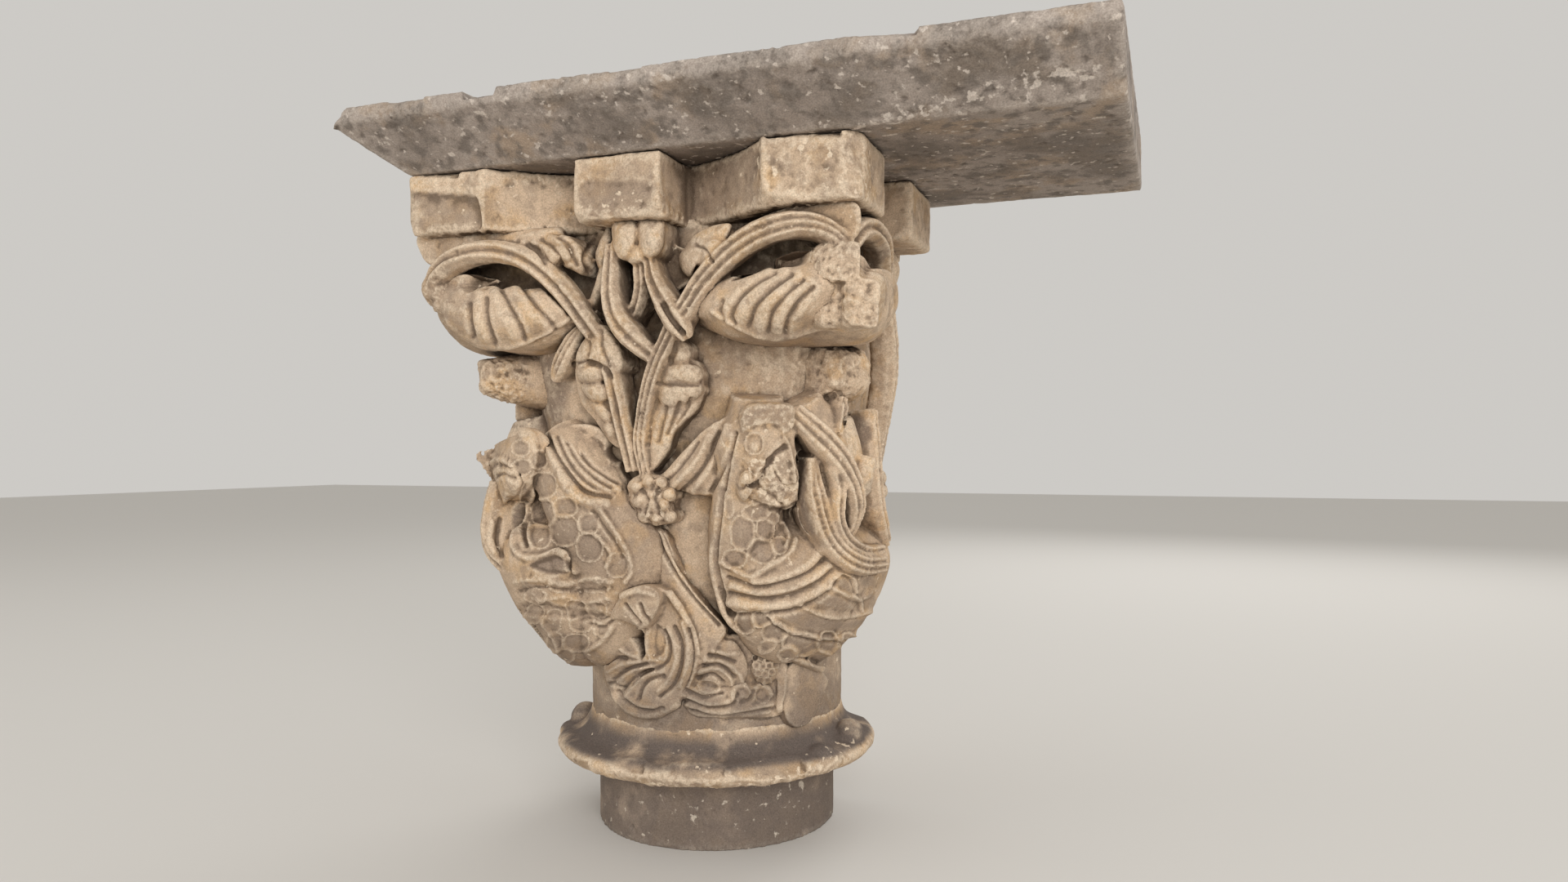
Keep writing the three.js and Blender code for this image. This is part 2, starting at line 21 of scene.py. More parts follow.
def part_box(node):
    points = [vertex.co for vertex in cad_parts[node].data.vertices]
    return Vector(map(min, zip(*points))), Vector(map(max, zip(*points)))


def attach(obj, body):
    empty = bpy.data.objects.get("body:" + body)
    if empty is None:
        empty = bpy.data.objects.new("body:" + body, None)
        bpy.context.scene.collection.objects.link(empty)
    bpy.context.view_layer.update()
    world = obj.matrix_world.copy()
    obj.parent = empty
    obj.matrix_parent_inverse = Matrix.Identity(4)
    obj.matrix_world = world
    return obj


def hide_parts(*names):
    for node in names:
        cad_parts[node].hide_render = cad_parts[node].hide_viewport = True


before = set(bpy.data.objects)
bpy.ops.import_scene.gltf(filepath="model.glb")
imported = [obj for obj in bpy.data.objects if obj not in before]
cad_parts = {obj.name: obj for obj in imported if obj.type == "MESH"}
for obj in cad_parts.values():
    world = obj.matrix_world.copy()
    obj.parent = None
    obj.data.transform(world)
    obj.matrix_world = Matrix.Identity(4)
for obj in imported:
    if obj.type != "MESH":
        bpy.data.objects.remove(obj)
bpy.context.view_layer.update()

LOG = logging.getLogger("capital")
MM = 0.001
BACK_PLANE = 68.0
SOFFIT = 520.0
ABACUS_UNDERSIDE = 474.0
RING_UNDERSIDE = 56.0
ABACUS_HALF = 180.0
FAR_AWAY = 1e9
NECK_RADIUS = 104.0
NECK_FOOT = 92.0
# the bell is made darker below this height, most at the neck
DARKENING_TOP = 200.0
NECK_DARKENING = 0.62
# bulge in mm over which edges are paled: part worn stone, part painted highlight
WEAR_AND_HIGHLIGHT_BULGE = (0.05, 0.55)
# depth in mm over which creases are darkened as painted shade
CREVICE_DEPTH = (0.06, 0.6)

Array = np.ndarray
Spot = tuple[float, float, float]
Pixel = tuple[float, float]
Colour = tuple[float, float, float, float]
Socket = bpy.types.NodeSocket
Mesh = bpy.types.Mesh


class Face(Enum):
    """The three carved faces of the bell, by the azimuth of their middle."""

    FRONT = 0.0
    LEFT = -90.0
    RIGHT = 90.0


def unit(vectors: Array) -> Array:
    """Return vectors scaled to length one."""
    length = np.linalg.norm(vectors, axis=-1, keepdims=True)
    return vectors / np.maximum(length, 1e-9)


def smoothstep(low: float, high: float, value: Array) -> Array:
    """Return a soft 0 to 1 ramp.

    Args:
        low: Value at which the ramp leaves 0.
        high: Value at which it reaches 1.
        value: What is measured.
    Returns:
        The ramp at each value.
    """
    t = np.clip((value - low) / (high - low), 0.0, 1.0)
    return t * t * (3.0 - 2.0 * t)


def catmull(rows: Sequence[Sequence[float]], count: int) -> Array:
    """Return a smooth run through rows of numbers.

    Args:
        rows: Control rows, each a point or a set of sizes.
        count: How many rows come out.
    Returns:
        An array of count rows that passes through every control row.
    """
    keys = np.asarray(rows, float)
    padded = np.vstack([2 * keys[0] - keys[1], keys, 2 * keys[-1] - keys[-2]])
    place = np.linspace(0, len(keys) - 1, count)
    cell = np.minimum(place.astype(int), len(keys) - 2)
    t = (place - cell)[:, None]
    a, b, c, d = (padded[cell + i] for i in range(4))
    return 0.5 * (2 * b + (c - a) * t + (2 * a - 5 * b + 4 * c - d) * t**2 + (3 * b - a - 3 * c + d) * t**3)


@dataclass(frozen=True)
class Bell:
    """The plain block that the carving grows out of."""

    heights: tuple[float, ...] = (86.0, 150.0, 200.0, 280.0, 370.0, 478.0)
    half_widths: tuple[float, ...] = (106.0, 107.0, 110.0, 118.0, 128.0, 134.0)
    squareness: tuple[float, ...] = (2.0, 2.0, 2.2, 3.0, 5.0, 6.0)

    def radius(self, azimuth: Array, z: Array) -> Array:
        """Return the radius of the plain bell.

        Args:
            azimuth: Degrees round the column.
            z: Heights.
        Returns:
            The radii.
        """
        angle = np.radians(azimuth)
        power = np.interp(z, self.heights, self.squareness)
        width = np.interp(z, self.heights, self.half_widths)
        return width / (np.abs(np.cos(angle)) ** power + np.abs(np.sin(angle)) ** power) ** (1 / power)

    def points(self, spots: Iterable[Spot], turn: float = 0.0) -> Array:
        """Return places in space for spots on the carving.

        Args:
            spots: Azimuth, height and lift of each.
            turn: Degrees that the whole set is turned round the column.
        Returns:
            One row of x, y, z for each spot.
        """
        azimuth, z, lift = np.asarray(list(spots), float).T
        azimuth = azimuth + turn
        radius = self.radius(azimuth, z) + lift
        angle = np.radians(azimuth)
        return np.column_stack([radius * np.sin(angle), -radius * np.cos(angle), z])

    def outward(self, points: Array) -> Array:
        """Return level directions away from the column, turned towards the nearest of the four faces."""
        flat = points * np.abs(points)
        flat[..., 2] = 0.0
        return unit(flat)


BELL = Bell()


class Ground(Enum):
    """What a traced mark lies over: the bell, or the upright plane just behind the volutes of the front."""

    BELL = "bell"
    FACE = "face"


@dataclass(frozen=True)
class Sight:
    """The photograph's view. It carries pixels of the 1920 by 1080 frame onto the stone, and back."""

    place: Spot = (375.4, -845.4, 308.0)
    turn: float = 20.39
    rise: float = 0.57
    lens: float = 24.45
    sensor: float = 36.0
    width: float = 1920.0
    height: float = 1080.0
    near: float = 560.0
    far: float = 1080.0
    face_plane: float = -134.0

    @property
    def focal(self) -> float:
        """Return the focal length in pixels."""
        return self.lens / self.sensor * self.width

    def axes(self) -> Array:
        """Return the right, up and ahead directions, as rows."""
        turn, rise = math.radians(self.turn), math.radians(self.rise)
        ahead = np.array([-math.sin(turn) * math.cos(rise), math.cos(turn) * math.cos(rise), math.sin(rise)])
        right = np.array([math.cos(turn), math.sin(turn), 0.0])
        return np.array([right, np.cross(right, ahead), ahead])

    def seen(self, points: Array) -> tuple[Array, Array]:
        """Return the pixels of points in space and their depths."""
        local = (points - np.array(self.place)) @ self.axes().T
        depth = local[:, 2]
        across = self.width / 2 + self.focal * local[:, 0] / depth
        down = self.height / 2 - self.focal * local[:, 1] / depth
        return np.column_stack([across, down]), depth

    def trace(self, marks: Sequence[Spot], ground: Ground = Ground.BELL) -> Array:
        """Return the places of marks seen in the photograph.

        Args:
            marks: Pixel across, pixel down and lift of each.
            ground: What the lift is measured from.
        Returns:
            One row of x, y, z for each mark. One past the outline lies where its line of sight comes nearest.
        """
        table = np.asarray(marks, float)
        across = (table[:, 0] - self.width / 2) / self.focal
        upward = (self.height / 2 - table[:, 1]) / self.focal
        rays = np.column_stack([across, upward, np.ones(len(table))]) @ self.axes()
        start = np.array(self.place)
        if ground is Ground.FACE:
            depth = (self.face_plane - table[:, 2] - start[1]) / rays[:, 1]
            return start + rays * depth[:, None]
        steps = np.arange(self.near, self.far, 2.0)
        walk = start + rays[:, None] * steps[:, None]
        azimuth = np.degrees(np.arctan2(walk[..., 0], -walk[..., 1]))
        gap = np.hypot(walk[..., 0], walk[..., 1]) - BELL.radius(azimuth, walk[..., 2]) - table[:, 2:3]
        inside = gap <= 0
        row = np.arange(len(table))
        first = np.where(inside.any(1), inside.argmax(1), gap.argmin(1))
        before = np.maximum(first - 1, 0)
        ahead, behind = gap[row, before], gap[row, first]
        share = np.where((ahead > 0) & (behind <= 0), ahead / np.maximum(ahead - behind, 1e-6), 1.0)
        return walk[row, before] + (walk[row, first] - walk[row, before]) * share[:, None]


SIGHT = Sight()


@dataclass(frozen=True)
class Shell:
    """A closed body as points and faces."""

    points: Array
    faces: list[tuple[int, ...]]


@dataclass(frozen=True)
class Stem:
    """A carved band along a path, with ridges on its face and its back sunk into the stone.

    The swell is a run of factors on its width, spaced evenly along it.
    """

    points: Array
    width: float
    height: float
    ridges: int = 2
    foot: float = 14.0
    ends: tuple[float, float] = (0.75, 0.75)
    swell: tuple[float, ...] = (1.0, 1.0)


@dataclass(frozen=True)
class Cell:
    """A scale as it is seen, in pixels: dished and stained inside a thin raised rim.

    The tilt turns its long side away from upright, in degrees.
    """

    across: float
    down: float
    half_width: float
    half_height: float
    tilt: float = 0.0
    depth: float = 1.8
    dark: float = 1.0


@dataclass(frozen=True)
class Stroke:
    """A line drawn on the finished stone, in pixels; a negative depth, in millimetres, cuts in."""

    route: tuple[Pixel, ...]
    width: float
    depth: float
    # how much darker the line is made: painted shade in cuts
    dark: float = 0.0


@dataclass(frozen=True)
class Dish:
    """An outlined area, in pixels, pushed out of the face of the stone, or into it by a negative depth."""

    outline: tuple[Pixel, ...]
    depth: float
    soft: float = 5.0
    # how much darker it is made: painted shade in deep hollows and under overhangs, stain on the rest
    dark: float = 0.0


@dataclass(frozen=True)
class Scar:
    """An outlined area, in pixels, that is eaten away: how rough it is, and how pale its fresh stone."""

    outline: tuple[Pixel, ...]
    rough: float = 1.0
    pale: float = 0.0


@dataclass(frozen=True)
class Pad:
    """A plain scale on a side face, by azimuth and height in degrees and millimetres."""

    azimuth: float
    z: float
    half_width: float
    half_height: float
    tilt: float = 0.0
    depth: float = 1.6
    dark: float = 0.8


@dataclass
class Carving:
    """What a carved part adds to the stone."""

    shells: list[Shell] = field(default_factory=list)
    stems: list[Stem] = field(default_factory=list)
    pads: list[Pad] = field(default_factory=list)
    dishes: list[Dish] = field(default_factory=list)
    strokes: list[Stroke] = field(default_factory=list)
    cells: list[Cell] = field(default_factory=list)
    scars: list[Scar] = field(default_factory=list)

    def add(self, other: "Carving") -> None:
        """Take in everything another carving holds."""
        for name in vars(self):
            getattr(self, name).extend(getattr(other, name))


def closed_run(points: Array, count: int) -> Array:
    """Return a smooth closed run through points."""
    wrapped = np.vstack([points[-2:], points, points[:3]])
    run = catmull(wrapped, (len(points) + 4) * count + 1)
    return run[2 * count:(len(points) + 2) * count]


def pillow(marks: Sequence[Spot], crown: float, depth: float = 14.0, ground: Ground = Ground.BELL,
           fullness: float = 0.5) -> Shell:
    """Return a rounded mass with a traced outline.

    Args:
        marks: Pixel across, pixel down and lift of points round its rim.
        crown: Lift of its middle.
        depth: How far its sides go down from the rim.
        ground: What the lifts are measured from.
        fullness: Power on its swell; less is fuller.
    Returns:
        The mass, with sides square to the stone.
    """
    rim = closed_run(np.asarray(marks, float), 5)
    middle = rim.mean(0)
    middle[2] = crown
    edge = SIGHT.trace(rim, ground)
    outs = BELL.outward(edge.copy())
    rings = [edge - outs * depth, edge - outs * 1.5]
    for share in (0.97, 0.9, 0.78, 0.6, 0.4, 0.2, 0.05):
        marks_here = middle + (rim - middle) * share
        rise = (1 - share**2) ** fullness
        marks_here[:, 2] = rim[:, 2] + (crown - rim[:, 2]) * rise
        rings.append(SIGHT.trace(marks_here, ground))
    return loft(np.array(rings))


def knob(across: float, down: float, radius: float, edge: float, crown: float,
         ground: Ground = Ground.BELL, depth: float = 14.0) -> Shell:
    """Return a round pillow of a radius in pixels."""
    turn = np.linspace(0, 2 * math.pi, 8, endpoint=False)
    marks = [(across + radius * math.cos(t), down + radius * math.sin(t), edge) for t in turn]
    return pillow(marks, crown, depth, ground)


def traced(marks: Sequence[Spot], width: float, height: float, ground: Ground = Ground.BELL,
           **options) -> Stem:
    """Return a band through marks seen in the photograph, with Stem's other options."""
    return Stem(SIGHT.trace(marks, ground), width, height, **options)


def stub(azimuth: float, stations: Sequence[tuple[float, float, float, float]]) -> Shell:
    """Return a broken stump that grows out of the bell.

    Args:
        azimuth: The way it points.
        stations: Distance from the axis, lowest and highest z and half width at each.
    Returns:
        The stump.
    """
    angle = math.radians(azimuth)
    away = np.array([math.sin(angle), -math.cos(angle), 0.0])
    across = np.array([-away[1], away[0], 0.0])
    turn = np.linspace(0, 2 * math.pi, 24, endpoint=False)
    side = np.sign(np.cos(turn)) * np.abs(np.cos(turn)) ** 0.6
    up = np.sign(np.sin(turn)) * np.abs(np.sin(turn)) ** 0.6
    rings = []
    for reach, low, high, half in catmull(stations, len(stations) * 4):
        ring = np.outer(side * half, across) + np.outer(up * (high - low) / 2, [0.0, 0.0, 1.0])
        rings.append(ring + away * reach + np.array([0.0, 0.0, (low + high) / 2]))
    return loft(np.array(rings))


def cell_rows(spots: Sequence[tuple], size: float, depth: float, dark: float) -> list[Cell]:
    """Return scales of one depth and stain, each given by its place, half sizes and maybe a tilt."""
    return [Cell(across, down, half_width * size, half_height * size, *(tilt or [0.0]), depth, dark)
            for across, down, half_width, half_height, *tilt in spots]


def line_distance(places: Array, run: Array) -> Array:
    """Return the distance of places on a plane from a run of points."""
    best = np.full(len(places), FAR_AWAY)
    for start, end in zip(run[:-1], run[1:]):
        step = end - start
        share = np.clip(((places - start) @ step) / max(step @ step, 1e-9), 0, 1)
        best = np.minimum(best, np.linalg.norm(places - start - share[:, None] * step, axis=1))
    return best


def within(places: Array, outline: Array) -> Array:
    """Return which places on a plane lie inside an outline."""
    inside = np.zeros(len(places), bool)
    for start, end in zip(outline, np.roll(outline, -1, axis=0)):
        crosses = (start[1] > places[:, 1]) != (end[1] > places[:, 1])
        fall = end[1] - start[1]
        reach = start[0] + (places[:, 1] - start[1]) * (end[0] - start[0]) / (fall if fall else 1e-9)
        inside ^= crosses & (places[:, 0] < reach)
    return inside


def loft(rings: Array) -> Shell:
    """Return a closed body through rings of points.

    Args:
        rings: An array of rows, sides and coordinates.
    Returns:
        The body, with a fan over each end.
    """
    rows, sides, _ = rings.shape
    points = np.vstack([rings.reshape(-1, 3), rings[0].mean(0), rings[-1].mean(0)])
    faces: list[tuple[int, ...]] = []
    for row in range(rows - 1):
        for side in range(sides):
            after = (side + 1) % sides
            low, high = row * sides, (row + 1) * sides
            faces.append((low + side, low + after, high + after, high + side))
    cap = rows * sides
    for side in range(sides):
        after = (side + 1) % sides
        faces.append((cap, after, side))
        faces.append((cap + 1, cap - sides + side, cap - sides + after))
    return Shell(points, faces)


def circle(radius: float, z: float, sides: int) -> Array:
    """Return a level ring of points round the column."""
    turn = np.linspace(0, 2 * math.pi, sides, endpoint=False)
    return np.column_stack([radius * np.sin(turn), -radius * np.cos(turn), np.full(sides, z)])


def facing_frame(centre: Array) -> Array:
    """Return across, outward and up axes at a place, as rows."""
    out = BELL.outward(np.asarray(centre, float).copy())
    up = np.array([0.0, 0.0, 1.0])
    return np.array([np.cross(up, out), out, up])


def lump(centre: Sequence[float], sizes: Spot, lean: float = 0.0, sides: int = 20) -> Shell:
    """Return a rounded lump on the stone.

    Args:
        centre: Its middle.
        sizes: Radii across the face, outwards and up.
        lean: Degrees that it leans in the plane of the face.
        sides: How many sides it has.
    Returns:
        The lump.
    """
    middle = np.asarray(centre, float)
    axes = facing_frame(middle)
    polar = np.linspace(0.12, math.pi - 0.12, sides // 2)
    round_about = np.linspace(0, 2 * math.pi, sides, endpoint=False)
    across = np.sin(polar)[:, None] * np.cos(round_about)
    outwards = np.sin(polar)[:, None] * np.sin(round_about)
    upwards = np.repeat(np.cos(polar)[:, None], sides, axis=1)
    local = np.stack([across * sizes[0], outwards * sizes[1], upwards * sizes[2]], -1)
    turn = math.radians(lean)
    leaned = local.copy()
    leaned[..., 0] = local[..., 0] * math.cos(turn) + local[..., 2] * math.sin(turn)
    leaned[..., 2] = local[..., 2] * math.cos(turn) - local[..., 0] * math.sin(turn)
    return loft(middle + leaned @ axes)


def swelling(stations: Sequence[Sequence[float]], turn: float = 0.0, fullness: float = 0.8,
             foot: float = 14.0) -> Shell:
    """Return a swelling body that follows the bell.

    Args:
        stations: Azimuth, height, half width and lift at each station.
        turn: Degrees that the body is turned round the column.
        fullness: Power on its section; less is squarer.
        foot: How deep it is rooted.
    Returns:
        The body.
    """
    runs = catmull(stations, len(stations) * 6)
    centres = BELL.points([(azimuth, z, 0.0) for azimuth, z, _, _ in runs], turn)
    tangents = unit(np.gradient(centres, axis=0))
    outs = BELL.outward(centres.copy())
    outs = unit(outs - tangents * np.sum(outs * tangents, axis=1, keepdims=True))
    acrosses = np.cross(tangents, outs)
    angle = np.linspace(0, 2 * math.pi, 36, endpoint=False)
    side, up = np.cos(angle), np.sin(angle)
    rings = np.empty((len(runs), len(angle), 3))
    for row, (_, _, width, lift) in enumerate(runs):
        rise = np.where(up > 0, np.abs(up) ** fullness * lift, up * foot)
        rings[row] = centres[row] + np.outer(side * width, acrosses[row]) + np.outer(rise, outs[row])
    return loft(rings)


def stem(spots: Sequence[Spot], width: float, height: float, turn: float = 0.0, **options) -> Stem:
    """Return a band through spots on the bell, with Stem's other options."""
    return Stem(BELL.points(spots, turn), width, height, **options)


def turned(points: Sequence[Sequence[float]], face: Face) -> Array:
    """Return points of the front face turned to another face."""
    angle = math.radians(face.value)
    flat = np.asarray(points, float)
    x, y = flat[..., 0], flat[..., 1]
    return np.stack([x * math.cos(angle) - y * math.sin(angle), x * math.sin(angle) + y * math.cos(angle),
                     flat[..., 2]], -1)


def added(name: str, data: bpy.types.ID) -> bpy.types.Object:
    """Return a new object that is linked to the scene."""
    made = bpy.data.objects.new(name, data)
    bpy.context.scene.collection.objects.link(made)
    return made


class TreeWriter:
    """A small helper that writes nodes of either kind."""

    def __init__(self, tree: bpy.types.NodeTree) -> None:
        """Take the tree that is written to."""
        self.tree = tree

    def node(self, kind: str, links: dict | None = None, **properties) -> bpy.types.Node:
        """Add a node.

        Args:
            kind: Its type.
            links: For each input, by name or index, a socket to link or a value to set.
            properties: Properties set on the node.
        Returns:
            The node.
        """
        made = self.tree.nodes.new(kind)
        for key, value in properties.items():
            setattr(made, key, value)
        for key, value in (links or {}).items():
            if isinstance(value, Socket):
                self.tree.links.new(value, made.inputs[key])
            else:
                made.inputs[key].default_value = value
        return made

    def math(self, operation: str, *values) -> Socket:
        """Return the result of a math node on sockets or numbers."""
        return self.node("ShaderNodeMath", dict(enumerate(values)), operation=operation).outputs[0]

    def vector(self, operation: str, *values) -> Socket:
        """Return the result of a vector math node; the number that scales a vector goes last."""
        links = dict(enumerate(values))
        if operation == "SCALE":
            links["Scale"] = links.pop(1)
        made = self.node("ShaderNodeVectorMath", links, operation=operation)
        return made.outputs["Value" if operation == "DOT_PRODUCT" else "Vector"]

    def noise(self, place: Socket, scale: float, detail: float) -> Socket:
        """Return noise from 0 to 1."""
        return self.node("ShaderNodeTexNoise", {"Vector": place, "Scale": scale, "Detail": detail}).outputs[0]


class NodeTree(TreeWriter):
    """A Geometry Nodes tree that runs on a mesh."""

    def __init__(self, name: str) -> None:
        """Start a tree that has a geometry input and output."""
        super().__init__(bpy.data.node_groups.new(name, "GeometryNodeTree"))
        for way in ("INPUT", "OUTPUT"):
            self.tree.interface.new_socket("Geometry", in_out=way, socket_type="NodeSocketGeometry")
        self.inputs: dict[str, str] = {}
        self.source = self.tree.nodes.new("NodeGroupInput")

    def size(self, name: str, default: float | None = None, kind: str = "NodeSocketFloat") -> Socket:
        """Add a named input, whose identifier is kept, and return its socket inside the tree.

        Args:
            name: The input's name.
            default: Its default value, if it has one.
            kind: The socket type.
        Returns:
            The socket inside the tree.
        """
        socket = self.tree.interface.new_socket(name, in_out="INPUT", socket_type=kind)
        if default is not None:
            socket.default_value = default
        self.inputs[name] = socket.identifier
        return self.source.outputs[name]

    def attribute(self, name: str, kind: str = "FLOAT") -> Socket:
        """Return a named attribute of the geometry."""
        return self.node("GeometryNodeInputNamedAttribute", {"Name": name},
                         data_type=kind).outputs["Attribute"]

    def store(self, geometry: Socket, name: str, value: Socket, kind: str = "FLOAT") -> Socket:
        """Return the geometry with a named attribute stored on its points."""
        return self.node("GeometryNodeStoreNamedAttribute",
                         {"Geometry": geometry, "Name": name, "Value": value},
                         data_type=kind).outputs["Geometry"]

    def finish(self, geometry: Socket) -> None:
        """End the tree in Realize Instances and Set Material."""
        real = self.node("GeometryNodeRealizeInstances", {"Geometry": geometry})
        finish = self.size("Finish", kind="NodeSocketMaterial")
        dressed = self.node("GeometryNodeSetMaterial", {"Geometry": real.outputs[0], "Material": finish})
        self.node("NodeGroupOutput", {0: dressed.outputs[0]})

    def apply(self, mesh: Mesh, values: dict) -> Mesh:
        """Run the tree on a mesh.

        Args:
            mesh: What goes in.
            values: A value for each named input that differs from its default.
        Returns:
            The plain mesh that comes out.
        """
        carrier = added(self.tree.name, mesh)
        modifier = carrier.modifiers.new(self.tree.name, "NODES")
        modifier.node_group = self.tree
        for name, value in values.items():
            modifier[self.inputs[name]] = value
        return baked(carrier)


def baked(carrier: bpy.types.Object) -> Mesh:
    """Return the evaluated mesh of an object, which is then removed."""
    bpy.context.view_layer.update()
    graph = bpy.context.evaluated_depsgraph_get()
    mesh = bpy.data.meshes.new_from_object(carrier.evaluated_get(graph))
    old = carrier.data
    bpy.data.objects.remove(carrier)
    bpy.data.meshes.remove(old)
    return mesh


class GroovedStemTree(NodeTree):
    """Sweeps a ridged section along every path of a mesh of edges."""

    def __init__(self) -> None:
        """Build the tree; each path's points carry out, width, height and foot attributes."""
        super().__init__("grooved_stem")
        ridges = self.size("Ridges", 2.0)
        groove = self.size("Groove", 0.4)
        step = self.size("Step", 2.5 * MM)
        curve = self.node("GeometryNodeMeshToCurve", {"Mesh": self.source.outputs["Geometry"]}).outputs[0]
        curve = self.node("GeometryNodeCurveSplineType", {"Curve": curve},
                          spline_type="CATMULL_ROM").outputs[0]
        curve = self.node("GeometryNodeSetSplineResolution", {"Geometry": curve, "Resolution": 10}).outputs[0]
        curve = self.node("GeometryNodeResampleCurve", {"Curve": curve, "Length": step},
                          mode="LENGTH").outputs[0]
        centre = self.node("GeometryNodeInputPosition").outputs[0]
        tangent = self.node("GeometryNodeInputTangent").outputs[0]
        curve = self.store(curve, "centre", centre, "FLOAT_VECTOR")
        curve = self.store(curve, "tangent", tangent, "FLOAT_VECTOR")
        profile = self.section(ridges, groove)
        swept = self.node("GeometryNodeCurveToMesh",
                          {"Curve": curve, "Profile Curve": profile, "Fill Caps": True}).outputs[0]
        self.finish(self.laid_out(swept))

    def section(self, ridges: Socket, groove: Socket) -> Socket:
        """Return a closed section whose points carry their place across (u) and outwards (v)."""
        circle = self.node("GeometryNodeCurvePrimitiveCircle", {"Resolution": 40, "Radius": 1.0}).outputs[0]
        place = self.node("ShaderNodeSeparateXYZ", {0: self.node("GeometryNodeInputPosition").outputs[0]})
        across = self.math("MULTIPLY", place.outputs[0], 0.5)
        ridge = self.math("MULTIPLY", self.math("ADD", across, 0.5), ridges)
        phase = self.math("MULTIPLY", ridge, 2 * math.pi)
        valley = self.math("MULTIPLY", self.math("ADD", self.math("COSINE", phase), 1.0), 0.5)
        crest = self.math("POWER", self.math("ABSOLUTE", place.outputs[1]), 0.5)
        scored = self.math("SUBTRACT", 1.0, self.math("MULTIPLY", valley, groove))
        above = self.math("GREATER_THAN", place.outputs[1], 0.0)
        rise = self.math("MULTIPLY", self.math("MULTIPLY", crest, scored), above)
        drop = self.math("MULTIPLY", crest, self.math("SUBTRACT", above, 1.0))
        circle = self.store(circle, "u", across)
        return self.store(circle, "v", self.math("ADD", rise, drop))

    def laid_out(self, swept: Socket) -> Socket:
        """Return the swept band with every section point put at its place."""
        tangent = self.attribute("tangent", "FLOAT_VECTOR")
        out = self.attribute("out", "FLOAT_VECTOR")
        along = self.vector("SCALE", tangent, self.vector("DOT_PRODUCT", out, tangent))
        square = self.vector("NORMALIZE", self.vector("SUBTRACT", out, along))
        across = self.vector("CROSS_PRODUCT", tangent, square)
        side = self.math("MULTIPLY", self.attribute("u"), self.attribute("width"))
        v = self.attribute("v")
        rise = self.math("MULTIPLY", self.math("MAXIMUM", v, 0.0), self.attribute("height"))
        drop = self.math("MULTIPLY", self.math("MINIMUM", v, 0.0), self.attribute("foot"))
        moved = self.vector("ADD", self.vector("SCALE", across, side),
                            self.vector("SCALE", square, self.math("ADD", rise, drop)))
        place = self.vector("ADD", self.attribute("centre", "FLOAT_VECTOR"), moved)
        return self.node("GeometryNodeSetPosition", {"Geometry": swept, "Position": place}).outputs[0]

    def sweep(self, stems: Sequence[Stem], ridges: int, groove: float) -> Mesh:
        """Return one mesh of all stems that have this many ridges.

        Args:
            stems: The bands.
            ridges: Ridges on each.
            groove: Depth of the grooves, as a part of the height.
        Returns:
            Their mesh.
        """
        points, edges, widths, heights, feet = [], [], [], [], []
        for band in stems:
            start = sum(len(run) for run in points)
            run = catmull(band.points, len(band.points) * 3)
            share = np.linspace(0, 1, len(run))
            taper = np.interp(share, (0, 0.25, 0.75, 1), (band.ends[0], 1, 1, band.ends[1]))
            points.append(run)
            swell = np.interp(share, np.linspace(0, 1, len(band.swell)), band.swell)
            widths.append(band.width * taper * swell)
            heights.append(band.height * taper)
            feet.append(np.full(len(run), band.foot))
            edges += [(start + i, start + i + 1) for i in range(len(run) - 1)]
        places = np.vstack(points)
        mesh = bpy.data.meshes.new("paths")
        mesh.from_pydata(places * MM, edges, [])
        outs = mesh.attributes.new("out", "FLOAT_VECTOR", "POINT")
        outs.data.foreach_set("vector", BELL.outward(places.copy()).ravel())
        for name, sizes in (("width", widths), ("height", heights), ("foot", feet)):
            layer = mesh.attributes.new(name, "FLOAT", "POINT")
            layer.data.foreach_set("value", np.concatenate(sizes) * MM)
        return self.apply(mesh, {"Ridges": float(ridges), "Groove": groove})


class WeatherTree(NodeTree):
    """Wears a surface: slow waves, tool marks and small pits, along its normals."""

    def __init__(self) -> None:
        """Build the tree."""
        super().__init__("weathering")
        waves = self.size("Waves", 0.8 * MM)
        marks = self.size("Marks", 0.35 * MM)
        pits = self.size("Pits", 0.6 * MM)
        scars = self.size("Scars", 5.0 * MM)
        offset = self.size("Seed", 0.0)
        place = self.node("GeometryNodeInputPosition").outputs[0]
        moved = self.vector("ADD", place, self.node("ShaderNodeCombineXYZ",
                                                    {0: offset, 1: offset}).outputs[0])
        wave = self.centred_noise(moved, 38.0, 2.0)
        mark = self.centred_noise(moved, 190.0, 3.0)
        pit = self.noise(moved, 120.0, 2.0)
        hole = self.math("POWER", self.math("MAXIMUM", self.math("SUBTRACT", pit, 0.6), 0.0), 1.2)
        hole = self.math("MULTIPLY", hole, -9.0)
        height = self.math("ADD", self.math("MULTIPLY", wave, waves), self.math("MULTIPLY", mark, marks))
        height = self.math("ADD", height, self.math("MULTIPLY", hole, pits))
        broken = self.math("ADD", self.centred_noise(moved, 75.0, 4.0), self.math("MULTIPLY", mark, 0.5))
        scarred = self.math("MULTIPLY", self.math("MULTIPLY", broken, self.attribute("rough")), scars)
        height = self.math("ADD", height, scarred)
        normal = self.node("GeometryNodeInputNormal").outputs[0]
        worn = self.node("GeometryNodeSetPosition", {"Geometry": self.source.outputs["Geometry"],
                                                     "Offset": self.vector("SCALE", normal, height)})
        self.finish(worn.outputs[0])

    def centred_noise(self, place: Socket, scale: float, detail: float) -> Socket:
        """Return noise between about -1 and 1."""
        return self.math("MULTIPLY", self.math("SUBTRACT", self.noise(place, scale, detail), 0.5), 2.0)


def shell_mesh(shells: Sequence[Shell]) -> Mesh:
    """Return one mesh of all shells."""
    faces: list[tuple[int, ...]] = []
    start = 0
    for shell in shells:
        faces += [tuple(start + corner for corner in face) for face in shell.faces]
        start += len(shell.points)
    mesh = bpy.data.meshes.new("shells")
    mesh.from_pydata(np.vstack([shell.points for shell in shells]) * MM, [], faces)
    return mesh


